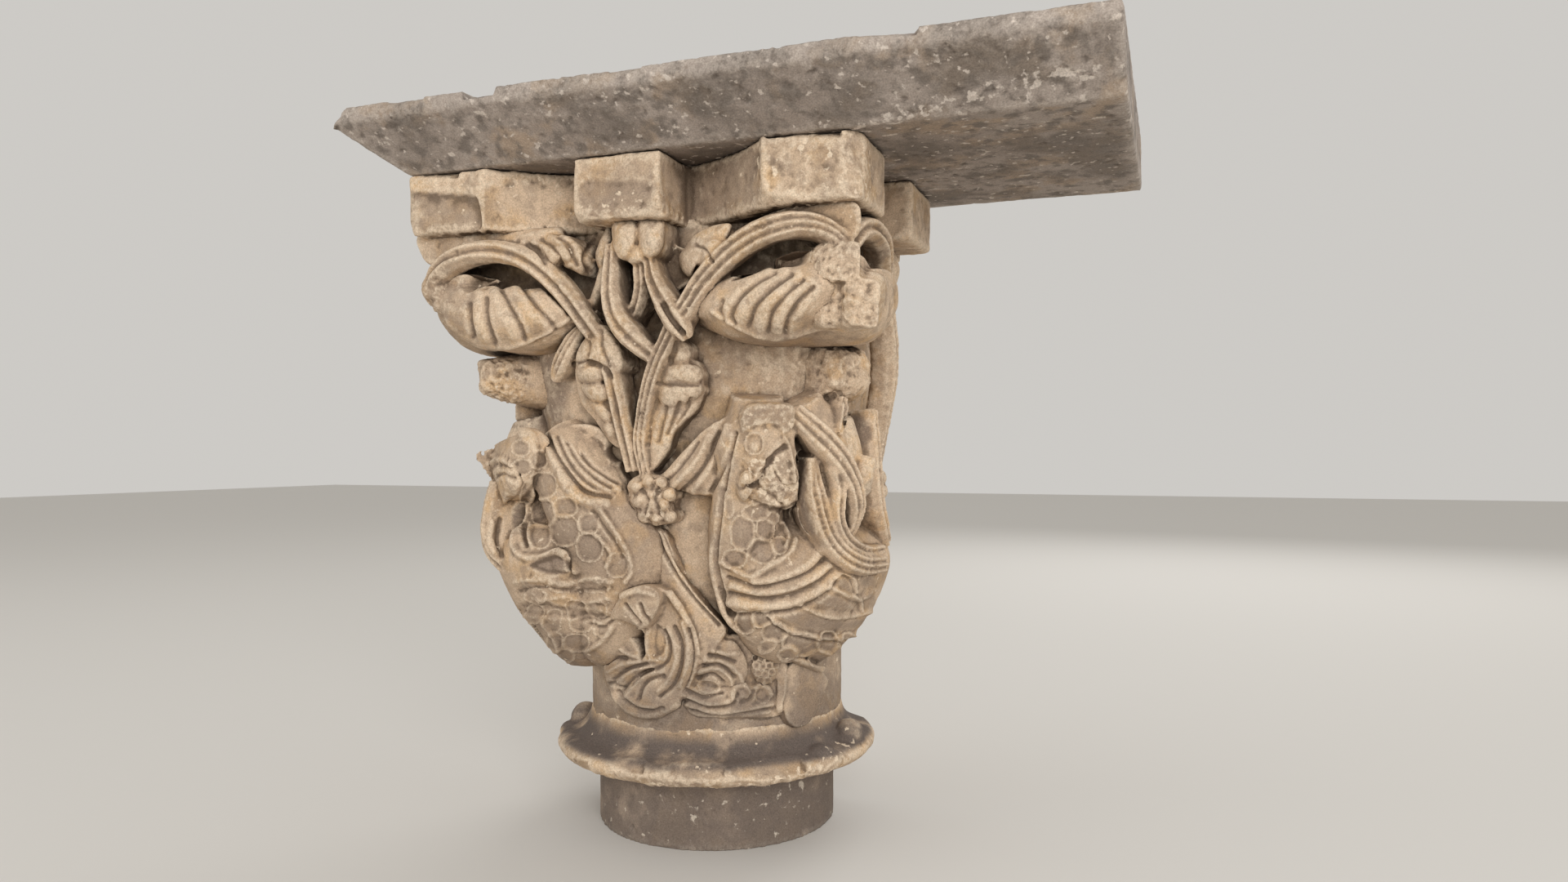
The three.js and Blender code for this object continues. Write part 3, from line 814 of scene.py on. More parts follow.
def mesh_points(mesh: Mesh) -> Array:
    """Return a mesh's points in millimetres."""
    flat = np.empty(len(mesh.vertices) * 3)
    mesh.vertices.foreach_get("co", flat)
    return flat.reshape(-1, 3) / MM


def set_points(mesh: Mesh, points: Array) -> None:
    """Write a mesh's points, given in millimetres."""
    mesh.vertices.foreach_set("co", (points * MM).ravel())
    mesh.update()


def mesh_normals(mesh: Mesh) -> Array:
    """Return a mesh's point normals."""
    flat = np.empty(len(mesh.vertices) * 3)
    mesh.vertices.foreach_get("normal", flat)
    return flat.reshape(-1, 3)


def joined(meshes: Sequence[Mesh], name: str) -> Mesh:
    """Return one mesh of several, without their attributes."""
    whole = bmesh.new()
    for mesh in meshes:
        whole.from_mesh(mesh)
    result = bpy.data.meshes.new(name)
    whole.to_mesh(result)
    whole.free()
    for mesh in meshes:
        bpy.data.meshes.remove(mesh)
    return result


def modified(mesh: Mesh, *steps: tuple[str, dict]) -> Mesh:
    """Return a mesh put through modifiers.

    Args:
        mesh: What goes in; it is used up.
        steps: Each modifier's type and settings.
    Returns:
        The plain result.
    """
    carrier = added("carrier", mesh)
    for kind, settings in steps:
        modifier = carrier.modifiers.new(kind.lower(), kind)
        for key, value in settings.items():
            setattr(modifier, key, value)
    return baked(carrier)


def at_least(layer: Array, near: Array, values: Array) -> None:
    """Raise the chosen entries of a layer to the values given, where they are lower."""
    layer[near] = np.maximum(layer[near], values)


class Relief:
    """Fine carving pressed into a fused surface, on what shows in the photograph and on the side faces."""

    cell: float = 3.0
    tolerance: float = 11.0
    grazing: float = 0.12
    pixels_per_mm: float = 1.9
    rim_pixels: float = 2.0
    scar_edge: float = 8.0
    roundness: float = 2.4

    def __init__(self, points: Array, normals: Array) -> None:
        """Take the surface's points and normals."""
        self.azimuth = np.degrees(np.arctan2(points[:, 0], -points[:, 1]))
        self.z = points[:, 2]
        self.reach = np.hypot(points[:, 0], points[:, 1])
        self.height, self.push, self.dark, self.rough, self.fresh = np.zeros((5, len(points)))
        self.out = BELL.outward(points.copy())
        self.pixels, depth = SIGHT.seen(points)
        last = [int(SIGHT.width / self.cell), int(SIGHT.height / self.cell)]
        column, row = np.clip((self.pixels / self.cell).astype(int), 0, last).T
        nearest = np.full((last[0] + 1, last[1] + 1), FAR_AWAY)
        np.minimum.at(nearest, (column, row), depth)
        rays = unit(points - np.array(SIGHT.place))
        facing = np.sum(rays * normals, axis=1) < self.grazing
        self.shown = facing & (depth < nearest[column, row] + self.tolerance)

    def near(self, route: Array, reach: float) -> Array:
        """Return the shown points that lie near a run of pixels."""
        low, high = route.min(0) - reach, route.max(0) + reach
        return np.flatnonzero(self.shown & np.all((self.pixels > low) & (self.pixels < high), axis=1))

    def press(self, carving: Carving) -> None:
        """Work in everything fine that a carving holds."""
        for dish in carving.dishes:
            self.press_dish(dish)
        for stroke in carving.strokes:
            self.press_stroke(stroke)
        self.press_scales(carving.cells, self.seen_ring)
        self.press_scales(carving.pads, self.round_ring)
        for scar in carving.scars:
            self.press_scar(scar)

    def area(self, outline: Sequence[Pixel], soft: float) -> tuple[Array, Array]:
        """Return the shown points near an outline, and how far in each lies, from 0 at its edge to 1."""
        run = closed_run(np.asarray(outline, float), 4)
        near = self.near(run, 2.0)
        places = self.pixels[near]
        distance = line_distance(places, np.vstack([run, run[:1]]))
        return near, smoothstep(0.0, soft, distance) * within(places, run)

    def press_scar(self, scar: Scar) -> None:
        """Roughen one outlined area."""
        near, share = self.area(scar.outline, self.scar_edge)
        at_least(self.rough, near, share * scar.rough)
        at_least(self.fresh, near, share * scar.pale)

    def press_dish(self, dish: Dish) -> None:
        """Push one outlined area in or out."""
        near, share = self.area(dish.outline, dish.soft)
        self.push[near] += share * dish.depth
        # darkening: painted shade in deep hollows and under overhangs, stain on the rest
        at_least(self.dark, near, share * dish.dark)

    def press_stroke(self, stroke: Stroke) -> None:
        """Cut or raise one line."""
        route = catmull(stroke.route, len(stroke.route) * 4)
        near = self.near(route, stroke.width * 1.2)
        share = np.exp(-((line_distance(self.pixels[near], route) / (stroke.width * 0.5)) ** 2))
        self.height[near] += share * stroke.depth
        # a cut's darkening is painted shade
        at_least(self.dark, near, share * stroke.dark)

    def oval(self, side: Array, up: Array, scale: Cell | Pad) -> Array:
        """Return how far out in a scale places lie: 0 at its middle, 1 on its edge."""
        turn = math.radians(scale.tilt)
        across = (side * math.cos(turn) - up * math.sin(turn)) / scale.half_width
        along = (side * math.sin(turn) + up * math.cos(turn)) / scale.half_height
        return (np.abs(across) ** self.roundness + np.abs(along) ** self.roundness) ** (1 / self.roundness)

    def seen_ring(self, cell: Cell) -> tuple[Array, Array, float]:
        """Return the points near a scale of the front, how far out they lie, and its half size in pixels."""
        place = np.array([[cell.across, cell.down]])
        near = self.near(place, 1.1 * max(cell.half_width, cell.half_height))
        side, up = (self.pixels[near] - place[0]).T
        return near, self.oval(side, -up, cell), min(cell.half_width, cell.half_height)

    def round_ring(self, pad: Pad) -> tuple[Array, Array, float]:
        """Return the same for a scale of a side face."""
        side = np.radians(self.azimuth - pad.azimuth) * self.reach
        up = self.z - pad.z
        reach = 1.1 * max(pad.half_width, pad.half_height)
        near = np.flatnonzero((np.abs(side) < reach) & (np.abs(up) < reach))
        return near, self.oval(side[near], up[near], pad), min(pad.half_width,
                                                               pad.half_height) * self.pixels_per_mm

    def press_scales(self, scales: Sequence[Cell | Pad], ring_of: Callable) -> None:
        """Work scales that crowd against each other: a low dome each, with a thin raised line between."""
        count = len(self.z)
        best, second = np.full(count, 9.0), np.full(count, 9.0)
        size, depth, dark = np.zeros(count), np.zeros(count), np.zeros(count)
        for scale in scales:
            near, ring, half = ring_of(scale)
            closer = ring < best[near]
            second[near] = np.where(closer, best[near], np.minimum(second[near], ring))
            taken = near[closer]
            best[taken] = ring[closer]
            size[taken], depth[taken], dark[taken] = half, scale.depth, scale.dark
        within_one = np.flatnonzero(best < 1.0)
        best, second, size = best[within_one], second[within_one], size[within_one]
        edge = np.minimum(1.0 - best, (second - best) / 2) * size
        line = np.exp(-((edge / self.rim_pixels) ** 2))
        face = smoothstep(0.8, 5.0, edge)
        self.height[within_one] += depth[within_one] * (line * 0.6 - face * (0.5 - 0.5 * (1 - best**2)))
        at_least(self.dark, within_one, face * dark[within_one])


@dataclass(frozen=True)
class Blank:
    """How a carving becomes one worn body: voxel size, smoothing, weathering and the triangles it may keep.
    """

    name: str
    voxel: float = 1.5
    smoothing: int = 2
    triangles: int = 150_000
    waves: float = 0.9
    marks: float = 0.42
    pits: float = 0.6
    seed: float = 0.0
    back: float = BACK_PLANE


class Mason:
    """Turns carvings into worn stone pieces."""

    grooves: dict[int, float] = {1: 0.08, 2: 0.52, 3: 0.46}
    snap: float = 1.6

    def __init__(self, finish: bpy.types.Material) -> None:
        """Build the trees that every piece shares.

        Args:
            finish: The material that new meshes get.
        """
        self.finish = finish
        self.stems = GroovedStemTree()
        self.weather = WeatherTree()
        self.coarse = 1.0

    def fused(self, carving: Carving, blank: Blank) -> Mesh:
        """Return one closed skin over everything in a carving.

        Args:
            carving: The bodies and bands.
            blank: How fine the skin is.
        Returns:
            The skin, cut at the back plane.
        """
        meshes = [shell_mesh(carving.shells)]
        for ridges in sorted({band.ridges for band in carving.stems}):
            bands = [band for band in carving.stems if band.ridges == ridges]
            meshes.append(self.stems.sweep(bands, ridges, self.grooves[ridges]))
        whole = joined(meshes, blank.name)
        points = mesh_points(whole)
        points[:, 1] = np.minimum(points[:, 1], blank.back)
        set_points(whole, points)
        return modified(whole, ("REMESH", {"mode": "VOXEL", "voxel_size": blank.voxel * self.coarse * MM}),
                        ("SMOOTH", {"factor": 0.5, "iterations": blank.smoothing}))

    def carve(self, carving: Carving, blank: Blank,
              shape: Callable[[Array], Array] | None = None) -> Mesh:
        """Return the finished mesh of a piece.

        Args:
            carving: What it is made of.
            blank: How it is fused, worn and thinned.
            shape: An extra change to the points, such as chips.
        Returns:
            The mesh, with rough and fresh attributes and one for darkening, which is partly stain and partly
            painted shade in cuts and deep hollows.
        """
        mesh = self.fused(carving, blank)
        points, normals = mesh_points(mesh), mesh_normals(mesh)
        relief = Relief(points, normals)
        relief.press(carving)
        points += normals * relief.height[:, None] + relief.out * relief.push[:, None]
        set_points(mesh, shape(points) if shape else points)
        write_attribute(mesh, "rough", relief.rough)
        mesh = self.weather.apply(mesh, {"Waves": blank.waves * MM, "Marks": blank.marks * MM,
                                         "Pits": blank.pits * MM, "Seed": blank.seed, "Finish": self.finish})
        mesh = thinned(mesh, blank.triangles)
        points = mesh_points(mesh)
        points[points[:, 1] > blank.back - self.snap, 1] = blank.back
        set_points(mesh, points)
        relief = Relief(points, mesh_normals(mesh))
        relief.press(carving)
        # darkening, partly grey stain in the scales and partly painted shade in cuts and deep hollows
        write_attribute(mesh, "patina_and_shade", relief.dark)
        write_attribute(mesh, "fresh", relief.fresh)
        mesh.name = blank.name
        LOG.info("%s: %d triangles", blank.name, triangle_count(mesh))
        return mesh


def triangle_count(mesh: Mesh) -> int:
    """Return how many triangles a mesh makes."""
    return sum(len(face.vertices) - 2 for face in mesh.polygons)


def ring_top_darkening(mesh: Mesh) -> Array:
    """Return how much darker each point of the ring is made: its hollow top is, its worn rim and the neck are
    not.
    """
    points = mesh_points(mesh)
    up = points[:, 2] - RING_UNDERSIDE
    beyond_neck = np.hypot(points[:, 0], points[:, 1]) > NECK_RADIUS
    return smoothstep(12.5, 17.0, up) * smoothstep(40.0, 26.0, up) * beyond_neck


def neck_darkening(mesh: Mesh) -> Array:
    """Return how much darker each point of the bell is made: most on the neck, fading upwards."""
    return NECK_DARKENING * smoothstep(DARKENING_TOP, NECK_FOOT, mesh_points(mesh)[:, 2])


def decimated(mesh: Mesh, ratio: float, chosen: Array) -> Mesh:
    """Return a mesh thinned to a share of its triangles, taken only from the chosen points."""
    carrier = added("carrier", mesh)
    group = carrier.vertex_groups.new(name="chosen")
    group.add(np.flatnonzero(chosen).tolist(), 1.0, "REPLACE")
    modifier = carrier.modifiers.new("thinned", "DECIMATE")
    modifier.ratio = ratio
    modifier.use_collapse_triangulate = True
    modifier.vertex_group = group.name
    return baked(carrier)


def thinned(mesh: Mesh, triangles: int, spare: float = 0.4) -> Mesh:
    """Return a mesh with no more than so many triangles, most of them on the side that the photograph shows.

    Args:
        mesh: What goes in; it is used up.
        triangles: How many it may keep.
        spare: The share that the hidden side keeps at first.
    Returns:
        The thinned mesh.
    """
    count = triangle_count(mesh)
    if count <= triangles:
        return mesh
    hidden = ~Relief(mesh_points(mesh), mesh_normals(mesh)).shown
    first = max(triangles / count, 1 - hidden.mean() * (1 - spare))
    mesh = decimated(mesh, first, hidden)
    return decimated(mesh, min(1.0, triangles / triangle_count(mesh)), np.ones(len(mesh.vertices), bool))


@dataclass
class BellCore:
    """The plain block of the bell and neck, with the plainer beasts of the side faces."""

    sides: int = 96

    def block(self) -> Shell:
        """Return the plain block, down into the ring."""
        levels = np.linspace(RING_UNDERSIDE + 6, ABACUS_UNDERSIDE + 6, 70)
        rings = [BELL.points([(360 * side / self.sides, z, 0) for side in range(self.sides)]) for z in levels]
        return loft(np.array(rings))

    def carving(self) -> Carving:
        """Return the block, darker under the left volute."""
        # painted shade, with some stain, under the left volute
        under_volute = ((600, 460), (640, 436), (690, 428), (704, 470), (690, 520), (640, 536), (606, 524))
        return Carving(shells=[self.block()], dishes=[Dish(under_volute, 0.0, 14.0, 1.0)])


@dataclass(frozen=True)
class Group:
    """Carvings that are fused into one piece."""

    blank: Blank
    parts: tuple

    def build(self, mason: Mason) -> Mesh:
        """Return the finished piece."""
        stone = Carving()
        for part in self.parts:
            stone.add(part.carving())
        return mason.carve(stone, self.blank)


def front_pieces() -> list[Group]:
    """Return the pieces of the bell: its core, the figures of each side, the foliage and the vine."""
    return [
        Group(Blank("bell_core", voxel=1.8, triangles=80_000, back=BACK_PLANE - 0.4),
              (BellCore(), SideBeasts())),
        Group(Blank("left_figures", voxel=1.2, triangles=150_000, seed=1.0),
              (LeftBeast(), LeftCorner(), LeftWing())),
        Group(Blank("right_figures", voxel=1.2, triangles=165_000, seed=2.0),
              (RightBeast(), RightCorner(), RightWing())),
        Group(Blank("lower_foliage", voxel=1.0, triangles=110_000, seed=4.0), (LowerFoliage(),)),
        Group(Blank("vine_and_volutes", voxel=1.1, smoothing=4, triangles=160_000, seed=3.0), (Vine(),)),
        Group(Blank("volute_cups", voxel=1.2, triangles=90_000, seed=6.0), (VoluteCups(),)),
    ]


def write_attribute(mesh: Mesh, name: str, values: Array) -> None:
    """Store one number for each point of a mesh."""
    layer = mesh.attributes.new(name, "FLOAT", "POINT")
    layer.data.foreach_set("value", values.astype(np.float32))


def place_piece(name: str, mesh: Mesh, finish: bpy.types.Material, node: str) -> None:
    """Put a piece in the scene and tie it to the frame.

    Args:
        name: The piece's name.
        mesh: Its mesh, already in place.
        finish: Its material.
        node: The node it stands for.
    """
    piece = added(name, mesh)
    mesh.materials.clear()
    mesh.materials.append(finish)
    mesh.polygons.foreach_set("use_smooth", np.ones(len(mesh.polygons), bool))
    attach(piece, "root")
    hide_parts(node)


@dataclass
class Abacus:
    """Concave-sided slab with a horn at each corner and a die in the middle of each side."""

    half: float = ABACUS_HALF
    horn: float = 67.0
    half_die: float = 34.5
    recess: float = 47.0
    low: float = ABACUS_UNDERSIDE
    high: float = SOFFIT
    round_over: float = 2.5

    def outline(self, shrink: float) -> Array:
        """Return the plan, drawn in by a small amount."""
        inner = self.half - self.horn
        sagitta = self.recess / (1 - (self.half_die / inner) ** 2)
        sweep = np.linspace(-inner, -self.half_die, 14)
        depth = sagitta * (1 - (sweep / inner) ** 2)
        left = [(-self.half, 0.0), *zip(sweep, depth), (-self.half_die, 0.0)]
        side = np.array(left + [(-u, d) for u, d in reversed(left)])
        plan = []
        for quarter in range(4):
            angle = quarter * math.pi / 2
            x, y = side[:-1, 0], side[:-1, 1] - self.half
            plan.append(np.column_stack([x * math.cos(angle) - y * math.sin(angle),
                                         x * math.sin(angle) + y * math.cos(angle)]))
        outline = np.vstack(plan)
        at_wall = self.half - sagitta * (1 - (BACK_PLANE / inner) ** 2)
        behind = outline[:, 1] > BACK_PLANE
        outline[behind, 0] = np.clip(outline[behind, 0], -at_wall, at_wall)
        return outline * (1 - shrink / self.half)

    def carving(self) -> Carving:
        """Return the slab as a loft with rounded arrises."""
        levels = [(self.low, self.round_over), (self.low + self.round_over, 0.0),
                  (self.high - self.round_over, 0.0), (self.high, self.round_over)]
        rings = [np.column_stack([self.outline(shrink), np.full(len(self.outline(0)), z)]) for z,
                 shrink in levels]
        dishes = [
            Dish(((480, 236), (520, 233), (570, 236), (587, 244), (588, 283), (560, 290), (520, 300),
                  (480, 296)), -3.4, 6.0, 0.5),
            Dish(((838, 180), (930, 180), (936, 226), (936, 262), (880, 282), (838, 290)), -1.5, 8.0, 0.5),
            Dish(((706, 222), (760, 218), (796, 222), (800, 258), (780, 268), (716, 266)), -0.8, 8.0, 0.5),
        ]
        strokes = [Stroke(((934, 150), (936, 200), (938, 250)), 7, 2.2),
                   Stroke(((590, 230), (592, 283)), 5, 1.5)]
        scars = [Scar(((480, 205), (580, 200), (700, 212), (702, 232), (600, 236), (500, 240)), 0.3, 0.2),
                 Scar(((480, 270), (560, 276), (690, 268), (690, 300), (480, 310)), 0.3, 0.1),
                 Scar(((700, 250), (820, 246), (830, 290), (704, 290)), 0.3, 0.3),
                 Scar(((930, 170), (1060, 170), (1062, 262), (940, 268)), 0.22, 0.5)]
        return Carving(shells=[loft(np.array(rings))], dishes=dishes, strokes=strokes, scars=scars)

    def chipped(self, points: Array) -> Array:
        """Return the points with knocks on the arrises and the horns worn back."""
        chips = [
            ((-180, -180, 478), (-0.7, -0.6, -0.3), 3.5), ((-34, -180, 474), (-0.5, -0.6, -0.6), 5.0),
            ((30, -180, 476), (0.3, -0.7, -0.6), 3.5), ((118, -180, 476), (-0.2, -0.7, -0.7), 4.0),
            ((180, -176, 500), (0.8, -0.6, 0.1), 6.0), ((-150, -180, 519), (0.1, -0.6, 0.8), 2.5),
            ((150, -180, 519), (0.1, -0.6, 0.8), 3.0), ((-70, -180, 476), (0.0, -0.6, -0.8), 2.0),
        ]
        return knocked(points, chips)

    def build(self, mason: Mason) -> Mesh:
        """Return the finished slab."""
        blank = Blank("abacus_slab", voxel=1.9, smoothing=3, triangles=62_000, waves=1.5, marks=0.45,
                      pits=0.8)
        return mason.carve(self.carving(), blank, self.chipped)


def knocked(points: Array, chips: Sequence[tuple[Spot, Spot, float]]) -> Array:
    """Return points with plane chips taken off.

    Args:
        points: The surface's points.
        chips: For each, a place on the arris, the way the break faces and its depth.
    Returns:
        The points, with everything proud of each break drawn back onto it.
    """
    for place, facing, depth in chips:
        normal = unit(np.asarray(facing, float))
        offset = points - np.asarray(place, float)
        proud = offset @ normal + depth
        near = (proud > 0) & (np.linalg.norm(offset, axis=1) < depth * 6)
        points[near] -= proud[near, None] * normal * 0.92
    return points


@dataclass
class VoluteCups:
    """A cupped, ribbed leaf under each volute, from the corner knob to its inner end."""

    def cup(self, face: Face, sign: int) -> list[Shell]:
        """Return the bowl of one leaf."""
        stations = [
            (170, -160, 424, 444), (160, -170, 408, 442), (146, -177, 397, 439), (118, -180, 387, 433),
            (84, -175, 387, 431), (58, -163, 395, 427), (36, -144, 405, 418),
        ]
        rings = []
        deepest, taper_from = 118.0, 120.0
        for x, y, low, high in catmull(stations, 30):
            back = -min(deepest, deepest + (x - taper_from) * 0.5)
            middle = (low + high) / 2
            section = catmull([(back, high - 4), (y + 26, high), (y + 8, high - 3), (y, middle + 4),
                               (y + 1, middle - 6), (y + 8, low + 6), (y + 24, low), (back, low - 2)], 30)
            rings.append([(sign * x, depth, z) for depth, z in section])
        return [loft(turned(rings, face))]

    def ribs(self, face: Face, sign: int) -> list[Stem]:
        """Return the rounded ribs that fan over the bowl of a side face from the knob."""
        tips = [(122, 396), (100, 394), (78, 399), (58, 410)]
        pivot_x, pivot_z = 150.0, 432.0
        bands = []
        for x, z in tips:
            route = []
            for share in (0.2, 0.4, 0.6, 0.8, 0.95):
                depth = -164 - 15 * math.sin(math.pi * min(1.0, share * 0.8 + 0.1))
                rise = 7 * math.sin(math.pi * share)
                route.append((sign * (pivot_x + (x - pivot_x) * share), depth,
                              pivot_z + (z - pivot_z) * share + rise))
            bands.append(Stem(turned(route, face), 16, 5, ridges=1, foot=16, ends=(0.4, 0.6)))
        return bands

    def strokes(self) -> list[Stroke]:
        """Return the ribs of the front's two leaves and the cuts between them."""
        ridges = [
            ((588, 362), (584, 382), (587, 402), (593, 414)),
            ((604, 352), (611, 374), (620, 394), (629, 411)),
            ((628, 348), (640, 368), (654, 386), (668, 397)),
            ((655, 345), (668, 358), (682, 369), (690, 376)),
            ((942, 333), (915, 348), (896, 366), (888, 384)),
            ((962, 333), (936, 349), (914, 371), (905, 392)),
            ((978, 338), (955, 355), (936, 378), (930, 402)),
            ((990, 345), (970, 361), (956, 384), (952, 404)),
            ((1000, 356), (988, 370), (977, 388), (970, 402)),
        ]
        cuts = [
            ((596, 366), (596, 386), (601, 408), (606, 420)),
            ((615, 356), (625, 376), (637, 400), (643, 416)),
            ((641, 352), (655, 372), (670, 390), (680, 402)),
            ((662, 348), (676, 362), (690, 376), (700, 386)), ((575, 372), (576, 392), (580, 412)),
            ((950, 336), (924, 350), (904, 368), (896, 386), (901, 396)),
            ((970, 338), (946, 354), (926, 374), (917, 398)),
            ((984, 344), (964, 360), (946, 382), (941, 404)),
            ((996, 352), (979, 368), (966, 388), (961, 406)), ((884, 368), (882, 380), (888, 391)),
        ]
        brim = [((545, 392), (566, 409), (590, 423), (620, 425), (650, 416), (680, 401), (704, 385)),
                ((872, 380), (892, 393), (920, 407), (948, 413), (975, 408), (1005, 400), (1032, 394))]
        strokes = [Stroke(route, 15, 2.0) for route in ridges]
        # the cuts are darkened as painted shade
        strokes += [Stroke(route, 6.5, -2.6, 0.45) for route in cuts]
        strokes += [Stroke(route, 6, 2.5) for route in brim]
        return strokes

    def dishes(self) -> list[Dish]:
        """Return the dark openings between the ribs and the bands above."""
        return [
            Dish(((562, 352), (566, 336), (590, 326), (622, 323), (650, 330), (672, 343), (682, 352),
                  (650, 342), (612, 345), (588, 354), (572, 360)), -12.0, 7.0),
            Dish(((893, 344), (918, 320), (950, 300), (985, 291), (996, 300), (990, 320), (975, 328),
                  (945, 333), (915, 342)), -12.0, 7.0),
        ]

    def carving(self) -> Carving:
        """Return both leaves of the front and the near leaves of the sides."""
        stone = Carving(shells=self.cup(Face.FRONT, -1) + self.cup(Face.FRONT, 1), strokes=self.strokes(),
                        dishes=self.dishes())
        for face, sign in ((Face.LEFT, 1), (Face.RIGHT, -1)):
            stone.shells += self.cup(face, sign)
            stone.stems += self.ribs(face, sign)
        return stone


@dataclass
class Vine:
    """Grooved stems: two rise from the rosette and bend over the cups, others cross under the die."""

    band: float = 17.0
    rise: float = 9.5

    def side_volute(self, face: Face, sign: int) -> Stem:
        """Return one stem of a side face, from the rosette to the corner knob."""
        low = BELL.points([(sign * 1, 293, 20), (sign * 3, 330, 24), (sign * 6, 364, 28),
                           (sign * 11, 396, 30)])
        arc = [(52, -160, 432), (64, -164, 446), (80, -168, 457), (98, -170, 463), (118, -170, 465),
               (140, -170, 461), (156, -168, 450), (164, -164, 438)]
        points = np.vstack([low, [(sign * x, y, z) for x, y, z in arc]])
        return Stem(turned(points, face), self.band, self.rise, foot=14)

    def volutes(self) -> list[Stem]:
        """Return the two large stems of the front."""
        left_arm = SIGHT.trace([(776, 576, 11), (770, 546, 14), (763, 515, 17), (757, 486, 20),
                                (750, 456, 23), (741, 430, 23), (731, 412, 22)])
        left_arc = SIGHT.trace([(732, 414, 20), (716, 392, 24), (701, 370, 26), (684, 349, 29),
                                (664, 330, 32), (640, 315, 35), (610, 308, 38), (580, 310, 40),
                                (556, 319, 40), (540, 333, 39), (531, 352, 34)], Ground.FACE)
        right_arm = SIGHT.trace([(793, 578, 11), (787, 546, 14), (789, 515, 17), (794, 488, 20),
                                 (801, 461, 23), (810, 436, 25), (822, 411, 27)])
        right_arc = SIGHT.trace([(838, 383, 28), (855, 354, 30), (874, 330, 32), (895, 309, 34),
                                 (919, 292, 36), (946, 280, 38), (975, 274, 39), (1002, 277, 38),
                                 (1022, 287, 35), (1036, 302, 30), (1042, 320, 26)], Ground.FACE)
        return [
            Stem(left_arm, 14.5, 9, foot=24, ends=(0.8, 1.0)),
            Stem(left_arc, self.band, self.rise, foot=13, ends=(0.85, 0.9)),
            Stem(np.vstack([right_arm, right_arc]), self.band, self.rise, ridges=3, foot=20, ends=(0.9, 0.6),
                 swell=(0.72, 0.74, 0.8, 0.95, 1.1, 1.1, 1.05, 1.0)),
        ]

    def crossings(self) -> list[Stem]:
        """Return the strands under the die."""
        strand = {"ground": Ground.FACE, "foot": 28}
        return [
            traced([(750, 300, 20), (749, 322, 24), (748, 346, 27), (749, 368, 29), (755, 390, 31),
                    (768, 408, 31), (785, 424, 27), (806, 440, 17)],
                   15, 8, swell=(0.85, 0.9, 1.0, 1.15, 1.1), **strand),
            traced([(783, 308, 20), (785, 330, 21), (786, 350, 20), (783, 370, 17), (777, 390, 12),
                    (775, 408, 8)], 11, 8, **strand),
            traced([(795, 308, 22), (800, 338, 26), (809, 360, 29), (821, 381, 31), (834, 401, 30),
                    (842, 414, 26)], 16, 9, swell=(0.7, 0.85, 1.1, 1.15, 0.8), **strand),
            traced([(741, 318, 12), (738, 342, 13), (732, 360, 12), (725, 378, 11), (720, 396, 10)], 7, 6,
                   ridges=1, **strand),
            traced([(718, 396, 12), (706, 412, 13), (695, 430, 12), (686, 450, 9), (681, 466, 5)], 13, 7,
                   ridges=3, swell=(0.7, 1.0, 1.1, 0.8), **strand),
        ]

    def trefoil(self) -> list[Shell]:
        """Return the lobed leaf that hangs from the die."""
        face = {"ground": Ground.FACE, "depth": 36}
        return [
            pillow([(749, 270, 24), (764, 268, 28), (779, 270, 26), (779, 296, 28), (771, 312, 30),
                    (761, 318, 29), (751, 305, 27)], 38, **face),
            pillow([(781, 270, 26), (797, 268, 28), (813, 271, 24), (813, 297, 25), (806, 311, 27),
                    (794, 316, 30), (783, 306, 30)], 38, **face),
            pillow([(766, 308, 28), (777, 300, 31), (789, 307, 30), (787, 322, 26), (770, 322, 26)], 34,
                   **face),
            pillow([(746, 272, 14), (735, 294, 16), (728, 313, 15), (733, 330, 14), (741, 317, 16),
                    (748, 298, 17)], 21, **face),
            pillow([(806, 305, 8), (818, 298, 8), (842, 308, 8), (846, 332, 8), (838, 350, 8), (822, 352, 8),
                    (812, 335, 8)], 3, **face),
        ]

    def leaves(self) -> list[Shell]:
        """Return the curled leaves that grow from the two large stems beside the die."""
        face = {"ground": Ground.FACE, "depth": 36}
        return [
            pillow([(650, 300, 20), (663, 292, 24), (688, 287, 26), (707, 298, 26), (717, 320, 24),
                    (714, 337, 20), (700, 331, 24), (684, 324, 27), (664, 317, 27), (652, 311, 24)],
                   34, **face),
            pillow([(668, 307, 28), (682, 300, 31), (698, 305, 31), (703, 317, 29), (690, 322, 29),
                    (674, 320, 28)], 39, **face),
            knob(640, 297, 7, 26, 33, **face),
            pillow([(838, 302, 14), (850, 287, 20), (872, 276, 24), (894, 273, 26), (892, 287, 28),
                    (882, 303, 29), (872, 318, 29), (862, 332, 26), (852, 324, 22), (845, 340, 14),
                    (834, 330, 10), (831, 314, 10)], 33, **face),
            pillow([(860, 300, 26), (872, 292, 30), (884, 296, 31), (878, 312, 31), (866, 326, 29),
                    (856, 322, 26)], 38, **face),
            pillow([(878, 345, 20), (893, 338, 22), (897, 346, 22), (884, 362, 22), (870, 376, 20),
                    (864, 372, 20)], 27, **face),
        ]

